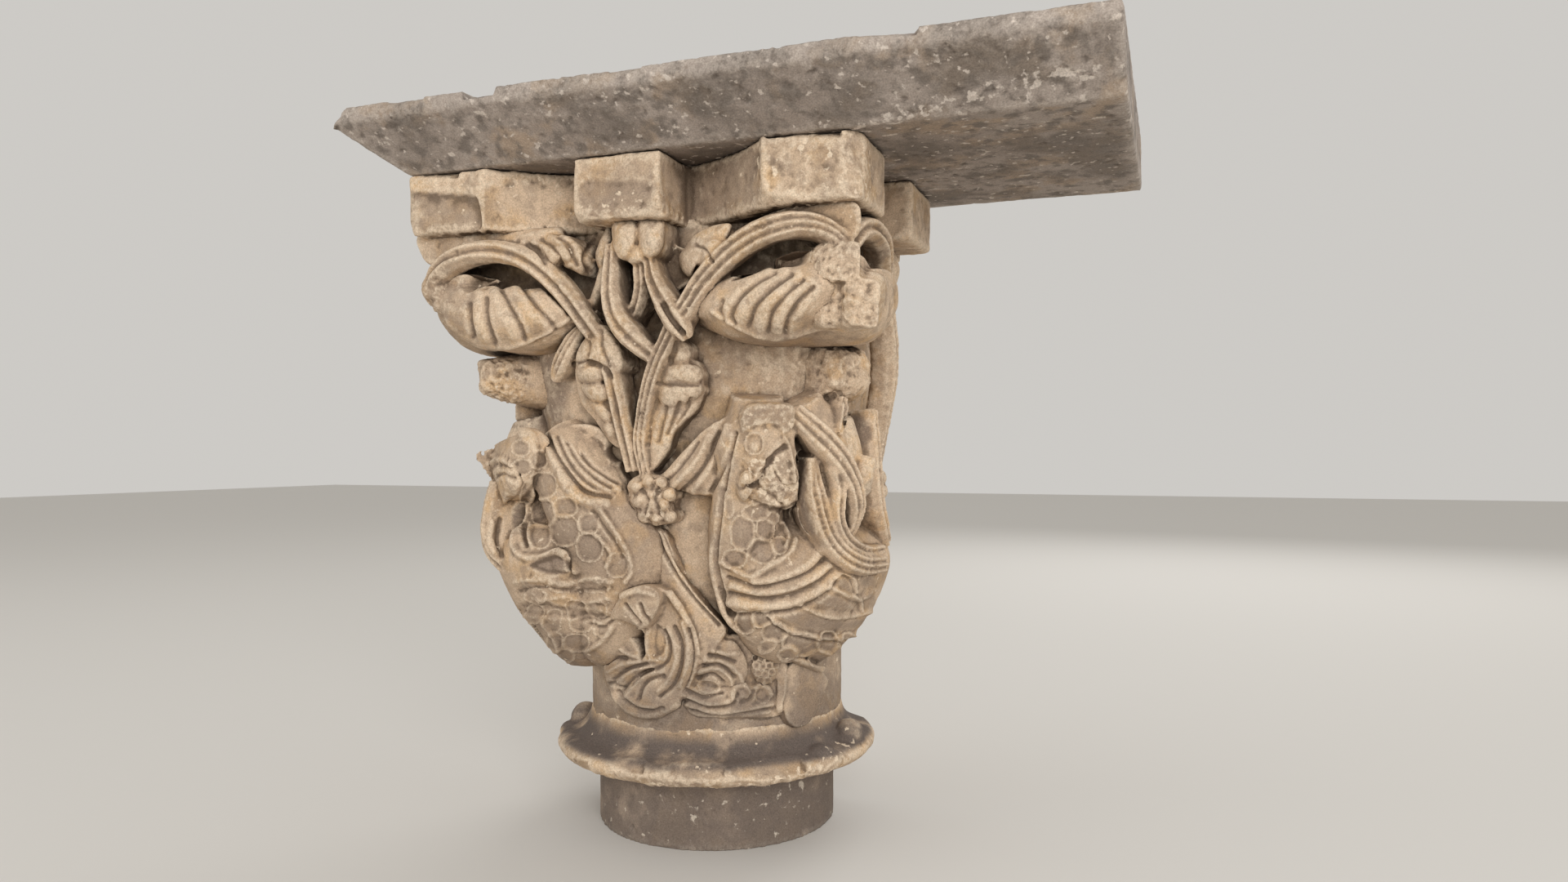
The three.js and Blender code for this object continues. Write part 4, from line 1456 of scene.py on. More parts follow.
    def buds(self) -> list[Shell]:
        """Return the sheath, the buds and the small leaves on the rising stems."""
        return [
            pillow([(735, 397, 27), (748, 410, 28), (760, 430, 27), (763, 450, 25), (750, 462, 24),
                    (737, 450, 27), (722, 444, 28), (708, 451, 24), (704, 438, 22), (711, 420, 24),
                    (722, 407, 26)], 33, 26),
            pillow([(706, 452, 20), (716, 445, 22), (732, 446, 25), (742, 455, 25), (738, 466, 23),
                    (722, 470, 20), (709, 465, 18)], 30, 26),
            pillow([(711, 472, 16), (728, 466, 20), (743, 472, 22), (747, 484, 22), (736, 493, 20),
                    (721, 488, 17)], 28, 24),
            pillow([(724, 493, 14), (738, 494, 18), (748, 506, 19), (745, 517, 18), (733, 511, 14)], 24, 24),
            pillow([(741, 514, 16), (750, 518, 17), (753, 531, 16), (746, 538, 14), (739, 527, 14)], 21, 24),
            pillow([(822, 413, 22), (836, 417, 22), (844, 426, 20), (846, 441, 16), (836, 449, 18),
                    (822, 443, 20), (814, 430, 20)], 26, 26),
            pillow([(804, 444, 14), (830, 436, 15), (856, 444, 12), (862, 465, 10), (858, 486, 9),
                    (842, 504, 9), (822, 530, 9), (806, 560, 9), (799, 520, 13), (800, 480, 14)], 22, 24),
            pillow([(704, 444, 16), (725, 438, 19), (752, 450, 20), (760, 490, 18), (766, 545, 14),
                    (750, 545, 11), (728, 515, 11), (710, 490, 12)], 20, 26),
            pillow([(808, 459, 20), (816, 448, 22), (836, 445, 22), (855, 449, 18), (860, 461, 16),
                    (851, 471, 18), (829, 469, 21), (812, 469, 21)], 28, 26),
            pillow([(802, 476, 19), (812, 465, 22), (835, 465, 23), (857, 469, 18), (859, 482, 15),
                    (842, 494, 18), (820, 500, 19), (808, 493, 19)], 27, 24),
            pillow([(800, 503, 18), (815, 500, 19), (836, 494, 17), (852, 487, 13), (862, 480, 9),
                    (856, 500, 8), (841, 516, 9), (827, 532, 10), (820, 552, 10), (809, 567, 11),
                    (799, 577, 12), (795, 555, 15), (797, 528, 17)], 20, 22),
        ]

    def rosette(self) -> list[Shell]:
        """Return the worn flower that the two stems rise from, with its small side leaves."""
        heart = [(768, 597, 14), (775, 585, 15), (790, 579, 15), (806, 582, 15), (824, 590, 13),
                 (829, 604, 12), (824, 618, 12), (829, 631, 11), (820, 641, 10), (800, 644, 10),
                 (784, 642, 11), (776, 630, 13), (770, 612, 14)]
        petals = [(779, 595), (793, 589), (809, 592), (819, 605), (812, 619), (820, 632), (803, 635),
                  (788, 632), (781, 614), (798, 608)]
        shells = [pillow(heart, 22, 24)]
        shells += [knob(across, down, 9, 15, 27 if index < 5 else 24) for index,
                   (across, down) in enumerate(petals)]
        shells += [
            pillow([(751, 608, 9), (760, 599, 11), (769, 606, 12), (777, 620, 12), (779, 633, 11),
                    (770, 631, 11), (761, 622, 10)], 17, 18),
            pillow([(757, 638, 7), (765, 628, 10), (776, 632, 10), (783, 641, 9), (772, 646, 7)], 15, 16),
        ]
        return shells

    def strokes(self) -> list[Stroke]:
        """Return the cuts that part the leaves and round off the bands."""
        return [
            # cuts with a dark value are darkened as painted shade
            Stroke(((704, 446), (715, 443), (730, 446), (741, 452), (750, 462)), 5, -2.5, 0.5),
            Stroke(((722, 412), (720, 428), (716, 441)), 5, -1.5),
            Stroke(((737, 404), (737, 425), (745, 448)), 6, -2.0),
            Stroke(((812, 372), (818, 384), (827, 397), (837, 408)), 5, -3.0, 0.5),
            Stroke(((806, 470), (820, 471), (840, 472), (856, 472)), 5, -1.5, 0.4),
            Stroke(((815, 500), (812, 515), (806, 540)), 6, -2.0),
            Stroke(((832, 495), (826, 510), (817, 530)), 6, -2.0),
            Stroke(((846, 489), (840, 503), (829, 519)), 5, -1.6),
            Stroke(((829, 420), (826, 432), (822, 441)), 5, -1.6),
            Stroke(((786, 600), (793, 612), (790, 628)), 5, -2.2, 0.4),
            Stroke(((806, 598), (802, 612), (808, 628)), 5, -2.2, 0.4),
            Stroke(((648, 300), (660, 309), (668, 322)), 5, -2.2, 0.4),
            Stroke(((664, 294), (678, 304), (688, 324)), 5, -2.4, 0.4),
            Stroke(((684, 290), (697, 300), (706, 324)), 5, -2.0, 0.4),
            Stroke(((655, 297), (668, 305), (678, 322)), 6, 1.6),
            Stroke(((674, 290), (688, 301), (698, 324)), 6, 1.6),
            Stroke(((722, 300), (716, 316), (722, 332)), 6, -2.0),
            Stroke(((852, 300), (864, 306), (872, 320)), 4, -2.0, 0.3),
        ]

    def carving(self) -> Carving:
        """Return every stem with its buds, its rosette and the worn knobs at the corners."""
        stone = Carving(stems=self.volutes() + self.crossings(), strokes=self.strokes())
        stone.shells += self.trefoil() + self.leaves() + self.buds() + self.rosette()
        for face, sign in ((Face.LEFT, 1), (Face.RIGHT, -1)):
            stone.stems.append(self.side_volute(face, sign))
            stone.shells += [Shell(turned(part.points, face), part.faces) for part in self.side_flowers()]
        stone.shells += [
            lump((-161, -161, 434), (15, 17, 16)), lump((-167, -160, 441), (9, 10, 8)),
            lump((-158, -166, 424), (10, 9, 10)), self.web(), *self.under_slab(), *self.broken_knob(),
        ]
        stone.scars += [
            Scar(((765, 590), (790, 576), (822, 586), (832, 606), (828, 634), (806, 648), (782, 644),
                  (768, 618)), 0.5, 0.6),
            Scar(((990, 300), (1030, 292), (1056, 296), (1056, 340), (1080, 344), (1080, 400), (1030, 402),
                  (1000, 398), (990, 350)), 0.7, 0.2),
            Scar(((515, 345), (535, 335), (556, 345), (560, 370), (545, 388), (522, 380), (512, 362)), 0.6,
                 0.1),
        ]
        return stone

    def side_flowers(self) -> list[Shell]:
        """Return the two leaves under the die of a side face and the flower that its stem rises from."""
        turns = np.linspace(0, 2 * math.pi, 7, endpoint=False)
        petals = [lump((14 * math.cos(t), -140, 275 + 14 * math.sin(t)), (8.5, 8, 8.5)) for t in turns]
        leaves = [lump((side * 10, -148, 458), (11, 11, 19), side * 12) for side in (-1, 1)]
        return [lump((0, -136, 275), (17, 12, 17)), lump((0, -144, 275), (6.5, 8, 6.5)), *petals, *leaves]

    def under_slab(self) -> list[Shell]:
        """Return the stone between the arcs and the slab."""
        face = {"ground": Ground.FACE, "depth": 40, "fullness": 0.3}
        return [
            pillow([(508, 290, 30), (540, 283, 32), (600, 281, 24), (660, 279, 14), (690, 280, 10),
                    (688, 310, 12), (650, 318, 20), (610, 312, 26), (570, 316, 28), (545, 325, 28),
                    (520, 322, 28)], 32, **face),
            pillow([(888, 292, 12), (920, 272, 18), (960, 254, 26), (1000, 246, 30), (1046, 246, 34),
                    (1056, 262, 34), (1050, 290, 32), (1020, 290, 30), (985, 276, 28), (950, 282, 26),
                    (915, 300, 18)], 34, **face),
        ]

    def web(self) -> Shell:
        """Return the stone that closes the opening under the left arc from behind."""
        return pillow([(546, 350, 2), (552, 330, 4), (575, 318, 5), (610, 314, 6), (642, 322, 6),
                       (668, 340, 6), (690, 366, 6), (676, 384, 4), (610, 384, 2), (560, 376, 0)],
                      5, 34, Ground.FACE)

    def broken_knob(self) -> list[Shell]:
        """Return what is left of the right-hand knob: three squared stumps, one above another."""
        face = {"ground": Ground.FACE, "depth": 34}
        return [
            pillow([(997, 306, 30), (1020, 297, 36), (1051, 296, 40), (1054, 318, 41), (1052, 341, 41),
                    (1030, 345, 40), (1002, 342, 32), (990, 332, 28)], 43, fullness=0.2, **face),
            pillow([(1036, 341, 40), (1060, 340, 41), (1076, 344, 40), (1077, 372, 40), (1075, 399, 38),
                    (1056, 400, 38), (1036, 392, 36)], 43, fullness=0.2, **face),
            pillow([(1000, 344, 30), (1022, 342, 36), (1042, 345, 37), (1044, 370, 35), (1038, 396, 28),
                    (1015, 402, 24), (996, 396, 24), (992, 368, 28)], 34, fullness=0.4, **face),
        ]


@dataclass
class LeftBeast:
    """A scaled neck and breast to the left of the face, the worn head thrown out at the corner."""

    def body(self) -> Carving:
        """Return neck, breast and the head's remains."""
        stone = Carving(shells=[
            swelling([(-36, 324, 20, 20), (-32, 306, 31, 38), (-27, 284, 36, 44), (-23, 260, 40, 43),
                      (-20, 234, 50, 38), (-22, 206, 47, 33), (-28, 176, 38, 30), (-36, 154, 26, 22),
                      (-39, 142, 18, 12)]),
            pillow([(597, 548, 30), (617, 538, 38), (643, 530, 42), (658, 546, 44), (656, 576, 46),
                    (645, 602, 44), (634, 612, 44), (620, 612, 42), (609, 600, 38), (600, 588, 34),
                    (589, 574, 28), (588, 560, 26)], 54, 30, fullness=0.4),
            pillow([(579, 557, 22), (590, 551, 30), (602, 558, 34), (598, 572, 32), (587, 570, 26)], 36, 16),
            pillow([(601, 572, 40), (614, 566, 44), (632, 574, 48), (640, 590, 48), (634, 606, 46),
                    (624, 612, 44), (617, 620, 42), (612, 608, 42), (606, 592, 40)], 60, 20, fullness=0.35),
            swelling([(-46, 306, 14, 30), (-47, 286, 20, 44), (-46, 262, 24, 50), (-45, 238, 26, 52),
                      (-44, 216, 24, 48)], foot=30.0),
        ])
        stone.stems += [
            stem([(-52, 270, 42), (-53, 250, 54), (-46, 232, 56), (-34, 224, 47), (-22, 224, 41)], 20, 8,
                 ridges=1, foot=20),
            Stem(np.array([(-136, -128, 284), (-140, -128, 264), (-141, -130, 244), (-135, -130, 228),
                           (-124, -130, 216)]), 20, 8, foot=26),
        ]
        return stone

    def dishes(self) -> list[Dish]:
        """Return the hole behind the jaw and the crescent under the neck."""
        return [
            # the hole and the crescent under the neck are darkened as painted shade
            Dish(((628, 622), (636, 614), (644, 618), (645, 632), (638, 644), (632, 653), (626, 646),
                  (625, 632)), -12.0, 4.0, 1.0),
            Dish(((645, 694), (658, 684), (676, 678), (692, 684), (702, 697), (690, 705), (668, 704)), -2.5,
                 5.0, 1.0),
            Dish(((632, 738), (660, 733), (700, 742), (740, 748), (752, 756), (735, 764), (690, 760),
                  (640, 756)), -3.0, 8.0, 0.3),
        ]

    def strokes(self) -> list[Stroke]:
        """Return the ridges, the rims and the ledges of the breast."""
        return [
            # cuts with a dark value are darkened as painted shade
            Stroke(((641, 531), (656, 534), (671, 548), (684, 574), (699, 600), (714, 612), (742, 618)), 13,
                   4.5),
            Stroke(((668, 530), (684, 560), (700, 584), (718, 602), (748, 608)), 5, -4.0, 0.5),
            Stroke(((733, 622), (746, 640), (758, 658), (770, 680), (773, 700), (766, 712)), 6, 2.5),
            Stroke(((726, 626), (742, 648), (752, 662), (762, 682)), 5, -2.0),
            Stroke(((652, 600), (647, 622), (641, 640), (631, 655), (630, 671), (642, 682), (662, 682),
                    (684, 675), (699, 688), (706, 700)), 7, 4.0),
            Stroke(((642, 642), (641, 656), (644, 668)), 5, -4.0, 0.8),
            Stroke(((650, 640), (648, 656), (652, 670)), 5, 2.0),
            Stroke(((598, 568), (612, 562), (628, 570), (642, 586)), 7, 2.5),
            Stroke(((606, 584), (616, 580), (630, 586)), 6, -2.0, 0.4),
            Stroke(((632, 712), (660, 708), (690, 714), (720, 709), (748, 712)), 9, 2.2),
            Stroke(((636, 724), (664, 719), (700, 723), (740, 722)), 7, -1.6, 0.4),
            Stroke(((660, 735), (690, 731), (720, 736), (744, 733)), 9, 2.0),
            Stroke(((728, 655), (742, 668), (748, 680), (743, 694)), 5, 2.0),
            Stroke(((652, 768), (662, 784), (668, 800)), 6, -3.0, 0.6),
            Stroke(((664, 762), (676, 778), (684, 796)), 5, 2.0),
            Stroke(((722, 764), (738, 768), (750, 760)), 5, -2.0, 0.4),
            Stroke(((720, 796), (736, 786), (748, 770)), 7, 3.0),
            Stroke(((603, 640), (600, 662), (606, 676)), 7, 3.0),
            Stroke(((612, 636), (609, 660), (613, 680)), 6, -3.0, 0.4),
        ]

    def cells(self) -> list[Cell]:
        """Return the scales of the neck, the breast and the belly."""
        neck = [(638, 549, 9, 8, 0), (640, 572, 9, 8, 0), (665, 594, 14, 13, 0), (646, 604, 7, 13, 10),
                (666, 628, 12, 13, 0), (692, 621, 12, 10, -10), (661, 657, 11, 12, 0), (692, 650, 14, 15, 0),
                (721, 641, 10, 10, 0), (722, 670, 13, 14, 0), (660, 563, 9, 9, 0)]
        low = [(756, 692, 11, 12), (728, 716, 16, 8), (690, 718, 15, 6), (706, 747, 12, 11),
               (730, 746, 11, 9), (676, 762, 9, 13), (712, 763, 12, 9), (652, 752, 9, 10), (706, 787, 13, 9),
               (680, 786, 8, 10), (690, 803, 11, 7), (656, 730, 11, 7), (738, 772, 9, 6)]
        return cell_rows(neck, 1.32, 1.6, 0.6) + cell_rows(low, 1.3, 1.4, 0.4)

    def carving(self) -> Carving:
        """Return the beast."""
        stone = self.body()
        scars = [Scar(((602, 550), (625, 556), (640, 580), (634, 610), (622, 630), (608, 632), (602, 606)),
                      0.3, 0.3),
                 Scar(((628, 705), (680, 700), (740, 706), (762, 730), (740, 750), (690, 750), (640, 752),
                       (630, 740)), 0.3, 0.1)]
        stone.add(Carving(dishes=self.dishes(), strokes=self.strokes(), cells=self.cells(), scars=scars))
        return stone


@dataclass
class RightBeast:
    """Head up against the right corner with its beak down on its breast, over a ribbon and long feathers."""

    def body(self) -> Carving:
        """Return head, neck and breast."""
        stone = Carving(shells=[
            swelling([(35, 350, 19, 26), (35, 334, 22, 40), (34, 314, 24, 44), (34, 284, 26, 42),
                      (34, 250, 29, 40), (36, 222, 32, 38), (42, 200, 36, 36), (48, 184, 34, 34),
                      (52, 168, 26, 26), (54, 156, 14, 16)], fullness=0.6),
            pillow([(902, 512, 30), (912, 496, 34), (940, 492, 38), (968, 494, 38), (976, 510, 38),
                    (974, 540, 40), (980, 566, 42), (983, 590, 42), (978, 613, 40), (960, 625, 38),
                    (936, 624, 38), (914, 620, 36), (900, 606, 34), (897, 580, 32), (899, 545, 30)],
                   50, 26, fullness=0.35),
            pillow([(903, 588, 42), (910, 577, 46), (920, 580, 48), (922, 600, 46), (914, 614, 44),
                    (904, 608, 42)], 55, 16),
            swelling([(45, 348, 16, 24), (49, 325, 24, 38), (53, 292, 28, 44), (54, 256, 30, 46),
                      (52, 228, 30, 42)], fullness=0.6, foot=30.0),
        ])
        stone.stems += [
            traced([(908, 507, 20), (897, 545, 20), (887, 582, 20), (880, 635, 20), (874, 679, 20),
                    (879, 718, 20), (892, 756, 20), (920, 781, 20), (956, 799, 19), (984, 811, 17),
                    (1004, 820, 12)], 6, 7, ridges=1, foot=24),
        ]
        return stone

    def strokes(self) -> list[Stroke]:
        """Return the mouth, the neck's lower edge and the lines of the feathers."""
        return [
            # cuts with a dark value are darkened as painted shade
            Stroke(((962, 548), (948, 558), (938, 574), (926, 592), (908, 598)), 6, -4.5, 0.9),
            Stroke(((884, 688), (904, 700), (921, 705), (944, 692), (966, 679), (974, 662)), 7, 2.5),
            Stroke(((924, 712), (940, 711), (966, 704), (989, 691), (1003, 676)), 11, 3.0),
            Stroke(((897, 717), (931, 725), (966, 720), (995, 707), (1014, 692)), 8, 3.5),
            Stroke(((893, 737), (934, 741), (973, 735), (1005, 719), (1021, 703)), 13, 4.5),
            Stroke(((892, 707), (924, 718), (956, 713), (989, 701), (1008, 685)), 5, -2.6, 0.6),
            Stroke(((893, 726), (934, 733), (973, 727), (1002, 712), (1018, 698)), 5, -2.6, 0.6),
            Stroke(((897, 753), (934, 751), (973, 746), (1005, 731), (1024, 712)), 6, -3.0, 0.6),
            Stroke(((884, 600), (880, 640), (876, 680), (882, 716), (894, 750)), 5, -4.0, 0.6),
            Stroke(((900, 530), (892, 565), (886, 600)), 5, -4.0, 0.6),
            Stroke(((958, 530), (966, 548), (970, 566), (972, 590)), 5, 2.5),
            Stroke(((920, 612), (936, 621), (956, 624), (978, 616)), 5, -3.0, 0.5),
            Stroke(((946, 572), (956, 590), (972, 600)), 5, -2.5),
            Stroke(((926, 596), (944, 606), (958, 618)), 5, -2.5),
            Stroke(((958, 640), (966, 656), (962, 670)), 5, 2.0),
            Stroke(((1012, 716), (1030, 725), (1046, 732), (1060, 730), (1070, 722)), 6, 1.8),
            Stroke(((980, 741), (1000, 750), (1027, 755), (1066, 748)), 7, 2.4),
            Stroke(((1044, 728), (1052, 736), (1054, 746)), 4, 2.5),
            Stroke(((937, 750), (957, 766), (989, 777), (1027, 780), (1062, 771)), 7, 2.6),
            Stroke(((940, 756), (957, 772), (989, 783), (1027, 786), (1056, 779)), 4, -1.4, 0.5),
            Stroke(((1018, 704), (1030, 700), (1044, 708), (1047, 724)), 5, 2.5),
        ]

    def dishes(self) -> list[Dish]:
        """Return the stained hollows of the feathers and the pale chipped places round the eye."""
        return [
            Dish(((944, 752), (962, 750), (984, 745), (1008, 754), (1036, 757), (1068, 752), (1064, 766),
                  (1036, 775), (1008, 777), (980, 772), (960, 763)), 1.0, 7.0, 0.7),
            Dish(((988, 736), (1006, 724), (1020, 726), (1036, 732), (1048, 746), (1030, 748), (1008, 745)),
                 1.0, 6.0, 0.7),
            Dish(((1052, 732), (1072, 726), (1072, 744), (1056, 746)), 0.6, 4.0, 0.6),
            Dish(((1022, 712), (1034, 706), (1042, 714), (1044, 728), (1030, 722)), 0.8, 4.0, 0.7),
            Dish(((1052, 706), (1072, 704), (1072, 719), (1054, 718)), 0.6, 4.0, 0.6),
            Dish(((905, 514), (914, 498), (945, 493), (971, 496), (975, 518), (962, 532), (945, 521),
                  (925, 523), (908, 531)), 1.8, 4.0, 0.75),
            # deep hollows beside the head, darkened as painted shade
            Dish(((974, 560), (984, 550), (990, 566), (990, 592), (992, 620), (1000, 648), (994, 658),
                  (982, 640), (976, 612), (978, 585)), -9.0, 5.0, 1.0),
            Dish(((966, 628), (976, 620), (986, 632), (994, 654), (980, 650)), -3.0, 5.0, 0.8),
            Dish(((1032, 512), (1048, 504), (1066, 516), (1072, 536), (1056, 548), (1038, 540)), -5.0, 7.0,
                 1.0),
        ]

    def cells(self) -> list[Cell]:
        """Return the eye and the scales of the neck and under the feathers."""
        neck = [(909, 652, 12, 17, 0), (925, 628, 13, 8, 0), (893, 621, 5, 11, 0), (937, 648, 9, 11, 0),
                (933, 675, 14, 12, 20), (900, 684, 12, 9, 0), (954, 668, 8, 9, 0), (946, 634, 6, 6, 0)]
        under = [(934, 757, 11, 8, -20), (912, 762, 9, 12, -20), (948, 774, 13, 10, -20),
                 (966, 798, 12, 7, -30), (980, 788, 18, 12, 0), (1013, 788, 10, 13, 0),
                 (1037, 787, 8, 11, 0), (1005, 806, 13, 9, 0), (1030, 808, 10, 13, 0),
                 (1016, 822, 8, 6, -30), (940, 790, 10, 6, -30), (1052, 792, 6, 12, 10)]
        eye = [Cell(924, 543, 12, 14, 0, 2.0, 0.3), Cell(924, 546, 6, 7, 0, 1.0, 0.5)]
        return eye + cell_rows(neck, 1.3, 1.6, 0.65) + cell_rows(under, 1.3, 2.3, 0.75)

    def carving(self) -> Carving:
        """Return the beast."""
        stone = self.body()
        scars = [Scar(((903, 498), (940, 490), (974, 494), (976, 530), (950, 545), (920, 530), (902, 525)),
                      0.35, 0.5),
                 Scar(((904, 560), (930, 556), (955, 556), (978, 570), (982, 600), (965, 624), (935, 624),
                       (912, 612)), 0.7, 1.0)]
        stone.add(Carving(strokes=self.strokes(), dishes=self.dishes(), cells=self.cells(), scars=scars))
        return stone


def corner_body(corner: float, reach: float, lowest: float) -> Shell:
    """Return the upturned body that two faces share.

    Args:
        corner: Azimuth of the corner.
        reach: How far it stands out, as a part of the largest one.
        lowest: How much higher than the left one it ends.
    Returns:
        The body.
    """
    stations = [(134, 128, 12), (142, 138, 24), (152, 148, 34), (168, 160, 45), (183, 171, 52),
                (204, 181, 58), (219, 186, 59), (232, 184, 57), (244, 176, 51), (258, 158, 38)]
    angle = math.radians(corner)
    away = np.array([math.sin(angle), -math.cos(angle), 0.0])
    across = np.array([away[1], -away[0], 0.0])
    inner, top, bottom = 92.0, 258.0, 134.0
    rings = []
    for z, out, width in catmull(stations, 30):
        height = top - (top - z) * (top - bottom - lowest) / (top - bottom)
        middle = (inner + out * reach) / 2
        half = (out * reach - inner) / 2
        turn = np.linspace(0, 2 * math.pi, 40, endpoint=False)
        ring = np.outer(middle + np.cos(turn) * half, away) + np.outer(np.sin(turn) * width, across)
        rings.append(ring + np.array([0.0, 0.0, height]))
    return loft(np.array(rings))


@dataclass
class LeftCorner:
    """The body at the left corner and the broken stumps over it."""

    def carving(self) -> Carving:
        """Return the corner."""
        broken = Scar(((580, 440), (610, 436), (650, 450), (648, 478), (632, 500), (600, 496), (582, 475)),
                      1.0, 0.1)
        return Carving(scars=[broken], shells=[
            corner_body(-45, 1.0, 0.0),
            stub(-48, [(110, 332, 392, 26), (160, 344, 388, 22), (185, 350, 384, 19), (199, 356, 380, 14)]),
            stub(-58, [(110, 318, 366, 22), (156, 328, 356, 15), (170, 334, 350, 10)]),
        ])


@dataclass
class RightCorner:
    """Two bodies at the right corner and the grooved stem that crosses itself over them."""

    def loops(self) -> list[Stem]:
        """Return the strands of the stem."""
        return [
            traced([(972, 504, 34), (990, 522, 42), (1010, 542, 50), (1028, 564, 56), (1041, 590, 60),
                    (1046, 616, 60), (1041, 640, 55), (1033, 658, 50)], 18, 9, ridges=3, foot=30,
                   swell=(1.15, 1.15, 1.1, 0.9, 0.7, 0.6)),
            traced([(994, 560, 46), (995, 586, 50), (999, 612, 54), (1005, 638, 57), (1015, 662, 60),
                    (1033, 682, 62), (1056, 692, 60), (1078, 690, 52)], 16, 9, ridges=3, foot=30,
                   ends=(0.5, 0.9)),
            traced([(1018, 570, 56), (1026, 596, 60), (1024, 620, 61), (1026, 642, 60), (1036, 662, 58),
                    (1056, 674, 54), (1078, 672, 48)], 11, 8, ridges=2, foot=30, ends=(0.6, 0.7)),
            stem([(70, 340, 30), (68, 300, 40), (72, 262, 44), (80, 236, 44)], 14, 8, ridges=2, foot=30),
            traced([(1030, 486, 26), (1027, 510, 30), (1024, 534, 38)], 9, 8, ridges=2, foot=26),
        ]

    def carving(self) -> Carving:
        """Return the corner."""
        broken = Scar(((975, 418), (1068, 418), (1070, 490), (1010, 492), (985, 470)), 0.55, 0.1)
        return Carving(stems=self.loops(), scars=[broken], shells=[
            corner_body(50, 0.97, 12.0), corner_body(66, 0.9, 6.0),
            stub(58, [(100, 330, 400, 30), (150, 342, 392, 26), (172, 350, 384, 20), (180, 356, 378, 14)]),
        ])


@dataclass
class LeftWing:
    """The hollow, grooved leaf between the rosette and the left beast."""

    def carving(self) -> Carving:
        """Return the leaf."""
        outline = [(671, 528, 14), (690, 521, 14), (715, 519, 11), (737, 526, 8), (750, 546, 6),
                   (759, 572, 8), (767, 590, 10), (758, 603, 13), (736, 608, 16), (712, 602, 18),
                   (695, 583, 19), (681, 557, 18)]
        folds = [((678, 536), (688, 562), (704, 584), (724, 599), (750, 606)),
                 ((688, 538), (702, 563), (720, 583), (742, 598), (758, 601)),
                 ((700, 548), (714, 568), (734, 584), (756, 596))]
        cuts = [((683, 536), (695, 563), (712, 585), (732, 600), (752, 604)),
                ((694, 543), (708, 566), (727, 585), (748, 598)),
                ((712, 556), (724, 571), (742, 584), (757, 592))]
        # the cuts are darkened as painted shade
        strokes = [Stroke(route, 9, 1.8) for route in folds] + [Stroke(route, 5.5, -1.8,
                                                                       0.45) for route in cuts]
        return Carving(
            shells=[pillow(outline, 11, 20)], strokes=strokes,
            # the deep hollow is darkened as painted shade
            dishes=[Dish(((738, 552), (744, 540), (754, 537), (761, 550), (764, 566), (754, 568), (743, 563)),
                         -14.0, 6.0, 0.8),
                    Dish(((706, 536), (724, 532), (742, 545), (748, 568), (736, 574), (718, 560)), -3.0,
                         8.0)],
        )


@dataclass
class RightWing:
    """The folded leaf between the rosette and the right beast's head."""

    def carving(self) -> Carving:
        """Return the leaf."""
        outline = [(803, 587, 9), (818, 573, 13), (833, 556, 15), (847, 541, 17), (862, 526, 18),
                   (882, 513, 20), (908, 505, 22), (902, 535, 22), (892, 565, 21), (884, 595, 19),
                   (868, 607, 16), (845, 604, 13), (825, 601, 11), (812, 603, 10)]
        strokes = [
            Stroke(((822, 597), (842, 578), (857, 558), (868, 536)), 8, 3.0),
            Stroke(((850, 600), (868, 576), (882, 548), (892, 522)), 9, 3.0),
            Stroke(((836, 600), (855, 580), (868, 560), (880, 530)), 6, -3.0, 0.4),
            Stroke(((812, 592), (828, 578), (842, 560), (854, 542)), 5, -2.0, 0.3),
            Stroke(((870, 602), (882, 580), (892, 556)), 5, -2.5, 0.4),
        ]
        return Carving(shells=[pillow(outline, 22, 24)], strokes=strokes)


